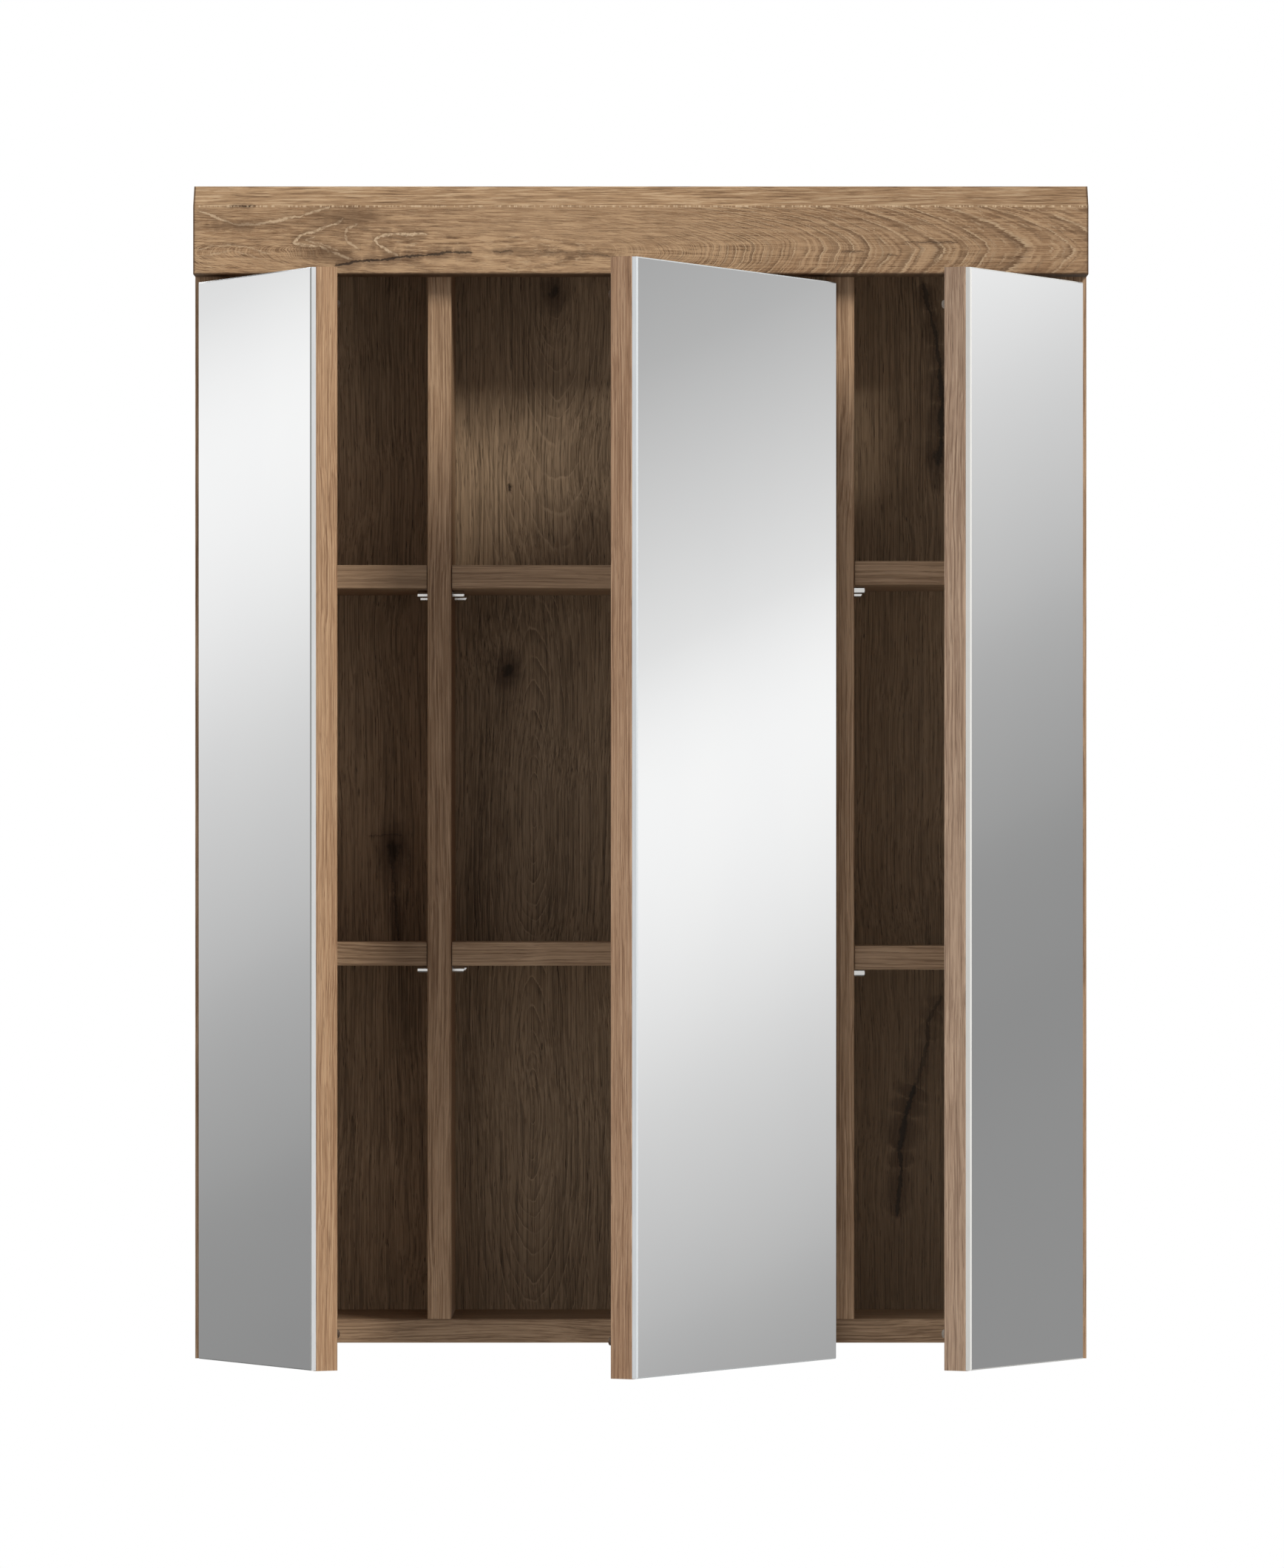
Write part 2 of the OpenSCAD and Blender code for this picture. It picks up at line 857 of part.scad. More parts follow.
// Pressed cup with a flange on the door and two lugs that hold its pin
module hinge_cup() {
    back = door_back_gap;
    lug_u = cup_pivot[0] - cup_eye_r;
    lug_w = cup_eye_r + 2.2;
    difference() {
        union() {
            bar_y([cup_u, back, 0], 2 * cup_r, cup_depth);
            translate([cup_u - flange_w / 2, back - flange_t, -flange_l / 2])
                cube([flange_w, flange_t, flange_l]);
            bar_y([cup_u, back - flange_t, 0], 2 * cup_r, flange_t);
        }
        bar_y([cup_u, back - flange_t - cut, 0], 2 * (cup_r - cup_wall),
            cup_depth + flange_t + cut - cup_wall);
        // The ring around the cup is open towards the hinge edge, where the link passes
        translate([-cut, back - flange_t - cut, -cup_r])
            cube([cup_u - flange_w / 2 + cut, flange_t + cut, 2 * cup_r]);
        translate([-cut, back - cut, -cheek_in])
            cube([cup_pivot[0] + cut, rim_notch + cut, 2 * cheek_in]);
        for (s = [-1, 1]) {
            bar_y([flange_screw_u, back - flange_t - cut, s * flange_screw_z],
                screw_d + screw_play, flange_t + 2 * cut);
        }
    }
    difference() {
        intersection() {
            for (s = [-1, 1])
                translate([lug_u - 2, back + 0.4, s < 0 ? -lug_out : cheek_in])
                    cube([lug_w + 2, cup_depth - 0.8, lug_out - cheek_in]);
            bar_y([cup_u, back, 0], 2 * cup_r - cup_wall, cup_depth - cup_wall / 2);
        }
        bar_z([cup_pivot[0], cup_pivot[1], -lug_out - cut], hinge_pin_d, 2 * (lug_out + cut));
    }
}

module hinge_cups(door) {
    color("silver") hung()
        swung_hinges(door)
            hinge_cup();
}

module left_hinge_cups() {
    hinge_cups(LEFT);
}

module middle_hinge_cups() {
    hinge_cups(MIDDLE);
}

module right_hinge_cups() {
    hinge_cups(RIGHT);
}

module cup_pins(door) {
    color("dimgray") hung()
        swung_hinges(door)
            bar_z([cup_pivot[0], cup_pivot[1], -lug_out], hinge_pin_d, 2 * lug_out);
}

module left_cup_pins() {
    cup_pins(LEFT);
}

module middle_cup_pins() {
    cup_pins(MIDDLE);
}

module right_cup_pins() {
    cup_pins(RIGHT);
}

// Screws

// A wood screw along +Y whose flat underhead starts at the origin
module wood_screw(l, head_d, head_h) {
    rotate([-90, 0, 0]) {
        cylinder(d = screw_d - screw_play, h = l - screw_d / 2);
        translate([0, 0, l - screw_d / 2])
            cylinder(d1 = screw_d - screw_play, d2 = 0.6, h = screw_d / 2);
        translate([0, 0, -head_h])
            difference() {
                cylinder(d1 = head_d * 0.8, d2 = head_d, h = head_h);
                cross_recess(head_d * 0.55, head_h * 0.6);
            }
    }
}

// Crossed slots cut down into a screw head from its top face
module cross_recess(l, depth) {
    w = l * 0.25;
    for (a = [0, 90])
        rotate(a)
            translate([-l / 2, -w / 2, -cut])
                cube([l, w, depth + cut]);
}

module cup_screws(door) {
    color("silver") hung()
        swung_hinges(door)
            for (s = [-1, 1])
                translate([flange_screw_u, door_back_gap - flange_t, s * flange_screw_z])
                    wood_screw(cup_screw_l + flange_t - 0.5, 6.4, 1.4);
}

module left_cup_screws() {
    cup_screws(LEFT);
}

module middle_cup_screws() {
    cup_screws(MIDDLE);
}

module right_cup_screws() {
    cup_screws(RIGHT);
}

// Countersunk screws, flush with the mounting plates
module plate_screws() {
    color("silver") hung()
        for (door = [LEFT, MIDDLE, RIGHT])
            at_hinges(door)
                for (s = [-1, 1])
                    translate([panel_u[door] + plate_t, -plate_back, s * plate_pitch / 2])
                        rotate([0, -90, 0])
                            difference() {
                                union() {
                                    cylinder(d1 = plate_head, d2 = screw_d, h = plate_t);
                                    cylinder(d = screw_d - screw_play,
                                        h = plate_screw_l + plate_t - 1);
                                }
                                cross_recess(3.4, 1.2);
                            }
}

// Machine screws that hold the arms on their plates
module arm_screws() {
    color("gray") hung()
        for (door = [LEFT, MIDDLE, RIGHT])
            at_hinges(door)
                for (v = arm_screw_v)
                    translate([panel_u[door] + arm_h, v, 0])
                        rotate([0, -90, 0]) {
                            translate([0, 0, -arm_head_h])
                                difference() {
                                    cylinder(d = arm_head_d, h = arm_head_h);
                                    cross_recess(4.4, 1);
                                }
                            cylinder(d = arm_screw_d, h = arm_h - plate_t - 0.5);
                        }
}

// Wall brackets

bracket_leg = back_recess - 0.5;
bracket_screw_y = -bracket_leg / 2 - bracket_t / 2;
bracket_screw_z = bracket_h / 2 - 8;
bracket_screw_l = 11;

// Screws that fasten the brackets to the side panels, or the holes for them
module bracket_screw_set(s, bracket_hole) {
    x = side_x - (bracket_hole ? 0 : bracket_t);
    for (dz = [-1, 1])
        translate([s * x, bracket_screw_y, slot_z + dz * bracket_screw_z])
            rotate([0, 0, -90 * s])
                if (bracket_hole)
                    bar_y([0, -cut, 0], screw_d - screw_play, bracket_screw_l + cut);
                else
                    wood_screw(bracket_screw_l + bracket_t - 0.5, 5.8, 1.4);
}

module wall_bracket(s) {
    color("lightgray") hung()
        translate([s * side_x, 0, slot_z])
            mirror([s > 0 ? 1 : 0, 0, 0])
                difference() {
                    union() {
                        translate([0, -bracket_leg, -bracket_h / 2])
                            cube([bracket_t, bracket_leg, bracket_h]);
                        translate([0, -bracket_t, -bracket_h / 2])
                            cube([bracket_l, bracket_t, bracket_h]);
                    }
                    for (e = [-1, 1])
                        bar_y([slot_in + e * (slot_l - slot_w) / 2, -bracket_t - cut, 0],
                            slot_w, bracket_t + 2 * cut);
                    translate([slot_in - (slot_l - slot_w) / 2, -bracket_t - cut, -slot_w / 2])
                        cube([slot_l - slot_w, bracket_t + 2 * cut, slot_w]);
                    for (dz = [-1, 1])
                        bar_x([-cut, bracket_screw_y, dz * bracket_screw_z],
                            screw_d + screw_play, bracket_t + 2 * cut);
                }
}

module left_wall_bracket() {
    wall_bracket(-1);
}

module right_wall_bracket() {
    wall_bracket(1);
}

module bracket_screws() {
    color("silver") hung()
        for (s = [-1, 1])
            bracket_screw_set(s, bracket_hole = false);
}

// Push-in caps that close the access holes in front of the slots
module access_caps() {
    flange = 1.4;
    color("saddlebrown") hung()
        for (s = [-1, 1]) {
            bar_y([s * slot_x, groove_y - flange, slot_z], access_d + 4, flange);
            difference() {
                bar_y([s * slot_x, groove_y, slot_z], access_d - 0.1, back_t + 1);
                bar_y([s * slot_x, groove_y, slot_z], access_d - 2.6, back_t + 2);
            }
        }
}

left_side_panel();
right_side_panel();
top_panel();
bottom_panel();
left_divider();
right_divider();
back_panel();
crown();
carcass_dowels();
left_upper_shelf();
left_lower_shelf();
middle_upper_shelf();
middle_lower_shelf();
right_upper_shelf();
right_lower_shelf();
left_shelf_pins();
middle_shelf_pins();
right_shelf_pins();
left_door_board();
middle_door_board();
right_door_board();
left_mirror();
middle_mirror();
right_mirror();
left_door_buffers();
middle_door_buffers();
right_door_buffers();
left_hinge_plates();
middle_hinge_plates();
right_hinge_plates();
left_hinge_arms();
middle_hinge_arms();
right_hinge_arms();
left_arm_pins();
middle_arm_pins();
right_arm_pins();
left_hinge_links();
middle_hinge_links();
right_hinge_links();
left_hinge_cups();
middle_hinge_cups();
right_hinge_cups();
left_cup_pins();
middle_cup_pins();
right_cup_pins();
left_cup_screws();
middle_cup_screws();
right_cup_screws();
plate_screws();
arm_screws();
left_wall_bracket();
right_wall_bracket();
bracket_screws();
access_caps();
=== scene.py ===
import math

import bmesh
import bpy
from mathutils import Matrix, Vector

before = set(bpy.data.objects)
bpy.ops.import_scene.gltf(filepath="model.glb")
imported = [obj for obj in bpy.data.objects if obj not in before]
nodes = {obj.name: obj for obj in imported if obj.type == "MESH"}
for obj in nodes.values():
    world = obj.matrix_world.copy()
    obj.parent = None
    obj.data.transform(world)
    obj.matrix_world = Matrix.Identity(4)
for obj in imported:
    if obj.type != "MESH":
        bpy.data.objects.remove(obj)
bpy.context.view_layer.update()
sides = ("left", "middle", "right")
print("frame loaded:", len(nodes), "nodes")


def tone(red, green, blue):
    # a colour as a picture editor shows it, 0 to 255, made linear for the shader
    parts = [value / 255 for value in (red, green, blue)]
    return (*[p / 12.92 if p <= 0.04045 else ((p + 0.055) / 1.055) ** 2.4 for p in parts], 1.0)


def feed(tree, node, values):
    # each named input takes another node's output or a plain value
    for name, value in values.items():
        if isinstance(value, bpy.types.NodeSocket):
            tree.links.new(value, node.inputs[name])
        else:
            node.inputs[name].default_value = value
    return node


def addNode(tree, kind, inputs=None, **settings):
    node = tree.nodes.new("ShaderNode" + kind)
    for name, value in settings.items():
        setattr(node, name, value)
    return feed(tree, node, inputs or {})


def calc(tree, operation, first, second=0.0, third=0.0, clamp=False):
    return addNode(tree, "Math", {0: first, 1: second, 2: third},
                   operation=operation, use_clamp=clamp).outputs[0]


def times(tree, first, *others):
    for other in others:
        first = calc(tree, "MULTIPLY", first, other)
    return first


def vectorCalc(tree, operation, first, second=(0, 0, 0), third=(0, 0, 0)):
    # a length, distance or dot product is a number, the rest are vectors
    node = addNode(tree, "VectorMath", {0: first, 1: second, 2: third}, operation=operation)
    isNumber = operation in ("LENGTH", "DISTANCE", "DOT_PRODUCT")
    return node.outputs["Value" if isNumber else "Vector"]


def scaleVector(tree, vector, factor):
    return addNode(tree, "VectorMath", {0: vector, "Scale": factor}, operation="SCALE").outputs[0]


def joinParts(tree, x=0.0, y=0.0, z=0.0):
    return addNode(tree, "CombineXYZ", {0: x, 1: y, 2: z}).outputs[0]


def splitParts(tree, vector):
    return addNode(tree, "SeparateXYZ", {0: vector}).outputs


def ease(tree, value, low, high, start=0.0, end=1.0):
    # value turned smoothly from start to end between low and high
    return addNode(tree, "MapRange", {"Value": value, "From Min": low, "From Max": high,
                                      "To Min": start, "To Max": end},
                   interpolation_type="SMOOTHSTEP").outputs["Result"]


def maskOf(tree, value, layer):
    # nothing up to the layer's start, and its whole share from where it is full
    start, full, share = layer
    return ease(tree, value, start, full, 0.0, share)


def plainNoise(tree, vector, detail, rough=0.5):
    return addNode(tree, "TexNoise", {"Vector": vector, "Scale": 1.0, "Detail": detail,
                                      "Roughness": rough}).outputs["Fac"]


def noiseOf(tree, vector, stretch, detail=2.0, rough=0.5):
    # noise of about 0 to 1, with its own number of ripples per metre along X, Y and Z
    return plainNoise(tree, vectorCalc(tree, "MULTIPLY", vector, stretch), detail, rough)


def wobbleOf(tree, vector, stretch, detail=2.0, rough=0.5):
    # the same noise, moved to lie round 0
    return calc(tree, "SUBTRACT", noiseOf(tree, vector, stretch, detail, rough), 0.5)


def mixValues(tree, amount, first, second):
    return addNode(tree, "Mix", {0: amount, 2: first, 3: second}).outputs[0]


def mixColors(tree, amount, first, second):
    # 6 and 7 are the Mix node's two colours, and its output 2 is their blend
    return addNode(tree, "Mix", {0: amount, 6: first, 7: second}, data_type="RGBA").outputs[2]


def tinted(tree, color, paint, *masks):
    # color turned towards paint by the product of the masks
    return mixColors(tree, times(tree, *masks), color, paint)


def newGroup(name, inputs, outputs):
    # a shader node group with named sockets: its tree, its inputs and the node its outputs go to
    tree = bpy.data.node_groups.new(name, "ShaderNodeTree")
    kinds = {"float": "NodeSocketFloat", "vector": "NodeSocketVector", "color": "NodeSocketColor"}
    for title, kind, value in inputs:
        socket = tree.interface.new_socket(title, in_out="INPUT", socket_type=kinds[kind])
        if value is not None:
            socket.default_value = value
    for title, kind in outputs:
        tree.interface.new_socket(title, in_out="OUTPUT", socket_type=kinds[kind])
    return tree, tree.nodes.new("NodeGroupInput").outputs, tree.nodes.new("NodeGroupOutput")


def useGroup(tree, group, inputs):
    node = tree.nodes.new("ShaderNodeGroup")
    node.node_tree = group
    return feed(tree, node, inputs).outputs


def newMaterial(name, roughness, **fixed):
    # a material with its Principled shader, whose plain values are set on its own sockets
    material = bpy.data.materials.new(name)
    material.use_nodes = True
    tree = material.node_tree
    shader = tree.nodes["Principled BSDF"]
    shader.inputs["Roughness"].default_value = roughness
    for title, value in fixed.items():
        shader.inputs[title.replace("_", " ")].default_value = value
    return material, tree, shader


def bumpOf(tree, height, distance, strength):
    return addNode(tree, "Bump", {"Height": height, "Distance": distance,
                                  "Strength": strength}).outputs["Normal"]


grainLook = {
    # ripples per metre, twice across the grain and once along it
    "sway": (9, 9, 4.5), "ripple": (60, 60, 28), "lineShift": (170, 170, 2.0),
    "lineFade": (230, 230, 9), "fibre": (1500, 1500, 26), "hair": (3400, 3400, 90),
    "streak": (840, 840, 8), "pore": (1900, 1900, 75), "patch": (34, 34, 2.4),
    "seedSteps": (1.37, 0.73, 2.11), "rippleReach": 0.0011, "lineTilt": 0.83, "lineUneven": 2.6,
    # a year line over one cycle: where it rises and falls, and how much of it fades in places
    "lineRise": (0.35, 0.86), "lineFall": (0.99, 0.9), "lineFadeFrom": (0.3, 0.72, 0.25, 1.0),
    # layers: where each starts and is full in its noise, and its share of the strength
    "patchPale": (0.3, 0.75, 1.0), "patchDark": (0.52, 0.24, 0.6),
    "streakPale": (0.5, 0.68, 1.0), "streakDark": (0.5, 0.32, 0.7),
    "fibrePale": (0.48, 0.68, 1.0), "fibreDark": (0.5, 0.32, 0.6), "poreDark": (0.63, 0.74, 1.0),
    "hairRelief": 0.35, "lineRelief": 0.5, "poreRelief": 0.9,
}


# oak: fibres, year lines and pores that run along local Z, in a board that may be cut anywhere
def buildOakGrain():
    look = grainLook
    tree, given, result = newGroup("oakGrain", [
        ("Vector", "vector", None), ("Seed", "float", 0.0),
        ("Base", "color", (0.4, 0.25, 0.15, 1)), ("Dark", "color", (0.2, 0.12, 0.07, 1)),
        ("Light", "color", (0.6, 0.4, 0.25, 1)), ("Line Pitch", "float", 0.0021),
        ("Line Strength", "float", 0.5), ("Wander", "float", 0.006),
        ("Fibre Strength", "float", 0.5), ("Pore Strength", "float", 0.5),
        ("Tone Strength", "float", 0.4), ("Streak Strength", "float", 0.4)],
        [("Color", "color"), ("Height", "float"), ("Fibre", "float")])
    shift = joinParts(tree, *[times(tree, given["Seed"], step) for step in look["seedSteps"]])
    moved = vectorCalc(tree, "ADD", given["Vector"], shift)
    x, y, z = splitParts(tree, moved)
    # the fibres lean and wander slowly along the board
    sway = times(tree, wobbleOf(tree, moved, look["sway"]), given["Wander"])
    ripple = wobbleOf(tree, moved, look["ripple"])
    sway = calc(tree, "MULTIPLY_ADD", ripple, look["rippleReach"], sway)
    across = calc(tree, "ADD", x, sway)
    deep = calc(tree, "ADD", y, sway)
    bent = joinParts(tree, across, deep, z)
    # year lines at an uneven pitch, seen on every face that cuts them
    rings = calc(tree, "MULTIPLY_ADD", deep, look["lineTilt"], across)
    phase = calc(tree, "DIVIDE", rings, given["Line Pitch"])
    uneven = noiseOf(tree, bent, look["lineShift"], 1)
    cycle = calc(tree, "FRACT", calc(tree, "MULTIPLY_ADD", uneven, look["lineUneven"], phase))
    fade = ease(tree, noiseOf(tree, bent, look["lineFade"]), *look["lineFadeFrom"])
    line = times(tree, ease(tree, cycle, *look["lineRise"]),
                 ease(tree, cycle, *look["lineFall"]), fade)
    patch = noiseOf(tree, bent, look["patch"], 3, 0.55)
    streak = noiseOf(tree, bent, look["streak"])
    fibre = noiseOf(tree, bent, look["fibre"], 3, 0.65)
    hair = noiseOf(tree, bent, look["hair"], 2, 0.6)
    pore = maskOf(tree, noiseOf(tree, bent, look["pore"], 1), look["poreDark"])
    # colours from the broadest to the finest: mask, strength and tone
    layers = [
        (maskOf(tree, patch, look["patchPale"]), "Tone Strength", "Light"),
        (maskOf(tree, patch, look["patchDark"]), "Tone Strength", "Dark"),
        (line, "Line Strength", "Dark"),
        (maskOf(tree, streak, look["streakPale"]), "Streak Strength", "Light"),
        (maskOf(tree, streak, look["streakDark"]), "Streak Strength", "Dark"),
        (maskOf(tree, fibre, look["fibrePale"]), "Fibre Strength", "Light"),
        (maskOf(tree, fibre, look["fibreDark"]), "Fibre Strength", "Dark"),
        (pore, "Pore Strength", "Dark")]
    color = given["Base"]
    for mask, strength, paint in layers:
        color = tinted(tree, color, given[paint], mask, given[strength])
    height = calc(tree, "MULTIPLY_ADD", hair, look["hairRelief"], fibre)
    height = calc(tree, "MULTIPLY_ADD", line, -look["lineRelief"], height)
    height = calc(tree, "MULTIPLY_ADD", pore, -look["poreRelief"], height)
    feed(tree, result, {"Color": color, "Height": height, "Fibre": fibre})
    return tree


ringLook = {
    # ripples per metre along the flame, through the board and across the flame
    "wave": (10, 13, 34), "jag": (110, 300, 1500), "fade": (30, 30, 140),
    "unevenPitch": 26.0, "closest": 0.05, "crowding": -0.7, "pointFrom": (0.16, 0.34),
    # where a ring's pale and dark lines rise and fall over one cycle, and how they fade
    "paleLine": ((0.0, 0.02), (0.12, 0.05)), "darkLine": ((0.55, 0.97), (1.0, 0.985)),
    "fadeFrom": (0.36, 0.6, 0.25, 1.0),
    # dashes and flecks that lie along the rings: how many per metre, and per ring
    "dash": (34.0, 5.5), "fleck": (105.0, 12.0),
}


# a flame of year rings round a middle point, drawn out along local X; local Z runs across it
def buildYearRings():
    look = ringLook
    tree, given, result = newGroup("yearRings", [
        ("Vector", "vector", None), ("Slim", "float", 0.17), ("Low Squeeze", "float", 0.6),
        ("Left Squeeze", "float", 0.45), ("Count", "float", 9.0), ("Start", "float", 0.0),
        ("Point", "float", 0.0), ("Wave", "float", 0.02), ("Jag", "float", 0.3),
        ("Seed", "float", 0.0)],
        [("Light", "float"), ("Dark", "float"), ("Dash", "float"), ("Fleck", "float"),
         ("Field", "float")])
    seed = given["Seed"]
    x, _, z = splitParts(tree, given["Vector"])
    left = times(tree, calc(tree, "MINIMUM", x, 0.0), given["Left Squeeze"])
    along = calc(tree, "ADD", calc(tree, "MAXIMUM", x, 0.0), left)
    low = times(tree, calc(tree, "MINIMUM", z, 0.0), given["Low Squeeze"])
    over = calc(tree, "DIVIDE", calc(tree, "ADD", calc(tree, "MAXIMUM", z, 0.0), low),
                given["Slim"])
    reach = vectorCalc(tree, "LENGTH", joinParts(tree, along, 0.0, over))
    # far from the middle the rings end in a point
    pointed = times(tree, calc(tree, "ABSOLUTE", z), ease(tree, along, *look["pointFrom"]))
    reach = calc(tree, "MULTIPLY_ADD", pointed, given["Point"], reach)
    seeded = vectorCalc(tree, "ADD", given["Vector"], joinParts(tree, y=seed))
    reach = calc(tree, "MULTIPLY_ADD", wobbleOf(tree, seeded, look["wave"], 3), given["Wave"],
                 reach)
    # the rings stand closer together near the middle, and never quite evenly
    spread = calc(tree, "MAXIMUM", calc(tree, "ADD", reach, given["Start"]), look["closest"])
    spread = times(tree, calc(tree, "POWER", spread, look["crowding"]), given["Count"])
    uneven = plainNoise(tree, joinParts(tree, times(tree, reach, look["unevenPitch"]), seed), 1.0)
    phase = calc(tree, "SUBTRACT", calc(tree, "SUBTRACT", uneven, 0.5), spread)
    phase = calc(tree, "MULTIPLY_ADD", wobbleOf(tree, seeded, look["jag"], 3, 0.75), given["Jag"],
                 phase)
    cycle = calc(tree, "FRACT", phase)
    fade = ease(tree, noiseOf(tree, seeded, look["fade"]), *look["fadeFrom"])
    light, dark = [times(tree, ease(tree, cycle, *rise), ease(tree, cycle, *fall), fade)
                   for rise, fall in (look["paleLine"], look["darkLine"])]
    lanes = [joinParts(tree, times(tree, x, perMetre), seed, times(tree, phase, perRing))
             for perMetre, perRing in (look["dash"], look["fleck"])]
    feed(tree, result, {"Light": light, "Dark": dark, "Field": reach,
                        "Dash": plainNoise(tree, lanes[0], 3.0, 0.6),
                        "Fleck": plainNoise(tree, lanes[1], 2.0)})
    return tree


splitLook = {
    # ripples per metre that bend a split: broad ones along X and Z, then fine ones
    "bendX": (90, 90, 90), "bendZ": (120, 70, 110), "jagX": (520, 70, 520), "jagZ": (610, 70, 450),
    "jagShare": 0.4, "tipWidth": 0.2, "coreEdge": (1.0, 0.35), "rimEdge": (6.0, 0.5),
}


# a split in the wood from one point to another, as a mask with a hard core and a soft rim
def buildSplit():
    look = splitLook
    tree, given, result = newGroup("woodSplit", [
        ("Vector", "vector", None), ("From", "vector", None), ("To", "vector", None),
        ("Width", "float", 0.001), ("Roughen", "float", 0.002)],
        [("Core", "float"), ("Rim", "float")])
    bend, jag = [joinParts(tree, wobbleOf(tree, given["Vector"], look[kind + "X"], detail, 0.6),
                           0.0, wobbleOf(tree, given["Vector"], look[kind + "Z"], detail, 0.6))
                 for kind, detail in (("bend", 3), ("jag", 2))]
    wobble = vectorCalc(tree, "MULTIPLY_ADD", jag, (look["jagShare"], 0, look["jagShare"]), bend)
    wobble = scaleVector(tree, wobble, given["Roughen"])
    point = vectorCalc(tree, "ADD", given["Vector"], wobble)
    # how far the point lies from the straight line, in widths that taper at both ends
    lane = vectorCalc(tree, "SUBTRACT", given["To"], given["From"])
    away = vectorCalc(tree, "SUBTRACT", point, given["From"])
    share = calc(tree, "DIVIDE", vectorCalc(tree, "DOT_PRODUCT", away, lane),
                 vectorCalc(tree, "DOT_PRODUCT", lane, lane), clamp=True)
    gap = vectorCalc(tree, "DISTANCE", away, scaleVector(tree, lane, share))
    taper = times(tree, share, calc(tree, "SUBTRACT", 1.0, share), 4.0)
    taper = calc(tree, "MULTIPLY_ADD", calc(tree, "SQRT", taper), 1.0 - look["tipWidth"],
                 look["tipWidth"])
    gap = calc(tree, "DIVIDE", gap, times(tree, given["Width"], taper))
    feed(tree, result, {"Core": ease(tree, gap, *look["coreEdge"]),
                        "Rim": ease(tree, gap, *look["rimEdge"])})
    return tree


knotLook = {"raggedX": (140, 140, 90), "raggedZ": (100, 180, 120), "raggedReach": 0.012,
            "coreEdge": (1.0, 0.4), "rimEdge": (3.2, 0.6)}


# a knot: a dark heart and a soft dusk round it, both drawn out along the grain
def buildKnot():
    look = knotLook
    tree, given, result = newGroup("woodKnot", [
        ("Vector", "vector", None), ("Middle", "vector", None), ("Size", "vector", None)],
        [("Core", "float"), ("Rim", "float")])
    ragged = joinParts(tree, wobbleOf(tree, given["Vector"], look["raggedX"], 3, 0.65), 0.0,
                       wobbleOf(tree, given["Vector"], look["raggedZ"], 3, 0.65))
    ragged = scaleVector(tree, ragged, look["raggedReach"])
    point = vectorCalc(tree, "ADD", given["Vector"], ragged)
    away = vectorCalc(tree, "SUBTRACT", point, given["Middle"])
    gap = vectorCalc(tree, "LENGTH", vectorCalc(tree, "DIVIDE", away, given["Size"]))
    feed(tree, result, {"Core": ease(tree, gap, *look["coreEdge"]),
                        "Rim": ease(tree, gap, *look["rimEdge"])})
    return tree


wearLook = {"cloud": (70, 70, 70), "scratch": (260, 2600, 260), "speck": (1800, 1800, 1800),
            "roughFrom": (0.3, 0.7), "speckRelief": 0.4}


# fine scratches and clouds on plated steel or plastic
def buildSurfaceWear():
    look = wearLook
    tree, given, result = newGroup("surfaceWear", [
        ("Vector", "vector", None), ("Low", "float", 0.2), ("High", "float", 0.35)],
        [("Cloud", "float"), ("Roughness", "float"), ("Height", "float")])
    cloud = noiseOf(tree, given["Vector"], look["cloud"], 4, 0.6)
    scratch = noiseOf(tree, given["Vector"], look["scratch"], 2, 0.6)
    speck = noiseOf(tree, given["Vector"], look["speck"], 2, 0.6)
    rough = ease(tree, mixValues(tree, 0.5, cloud, scratch), *look["roughFrom"], given["Low"],
                 given["High"])
    feed(tree, result, {
        "Cloud": cloud, "Roughness": rough,
        "Height": calc(tree, "MULTIPLY_ADD", speck, look["speckRelief"], scratch)})
    return tree


oakGrain = buildOakGrain()
yearRings = buildYearRings()
woodSplit = buildSplit()
woodKnot = buildKnot()
surfaceWear = buildSurfaceWear()
print("node groups built")

oakTones = {
    "edge": dict(base=tone(173, 136, 104), dark=tone(110, 79, 55), light=tone(203, 169, 135)),
    "leftEdge": dict(base=tone(173, 136, 103), dark=tone(108, 76, 53), light=tone(204, 170, 135)),
    "middleEdge": dict(base=tone(169, 132, 102), dark=tone(104, 74, 54), light=tone(200, 165, 134)),
    "rightEdge": dict(base=tone(166, 137, 114), dark=tone(102, 78, 61), light=tone(198, 171, 146)),
    "divider": dict(base=tone(172, 139, 108), dark=tone(108, 79, 56), light=tone(202, 170, 138)),
    # painted shade: the left and right shelves take a darker tone than the middle one
    "leftShelf": dict(base=tone(158, 129, 101), dark=tone(96, 72, 52), light=tone(188, 159, 128)),
    "middleShelf": dict(base=tone(170, 139, 109), dark=tone(105, 79, 58),
                        light=tone(200, 169, 137)),
    "rightShelf": dict(base=tone(157, 128, 101), dark=tone(96, 72, 52), light=tone(187, 158, 128)),
    # painted shade: the top and bottom panels take a darker tone than the dividers
    "shadedFloorBoard": dict(base=tone(151, 123, 96), dark=tone(92, 68, 49), light=tone(180, 151, 121)),
    "crown": dict(base=tone(145, 110, 78), dark=tone(84, 59, 39), light=tone(197, 163, 126)),
    "back": dict(base=tone(157, 133, 105), dark=tone(68, 54, 41), light=tone(196, 169, 138)),
}
# what a board has unless its material says otherwise
plainBoard = dict(pitch=0.0017, lines=0.62, wander=0.009, fibres=0.5, pores=0.35, tones=0.45,
                  streaks=0.4, gloss=0.56, duller=0.1, shinier=0.06, fibreFrom=(0.3, 0.75),
                  relief=0.00022, bump=0.6)
upright = (0, 0, 0)
level = (0, math.radians(90), 0)


def localPlace(tree, turn):
    # the piece's own coordinates, turned so that the grain runs along local Z
    return addNode(tree, "Mapping", {"Vector": addNode(tree, "TexCoord").outputs["Object"],
                                     "Rotation": turn}, vector_type="TEXTURE").outputs[0]


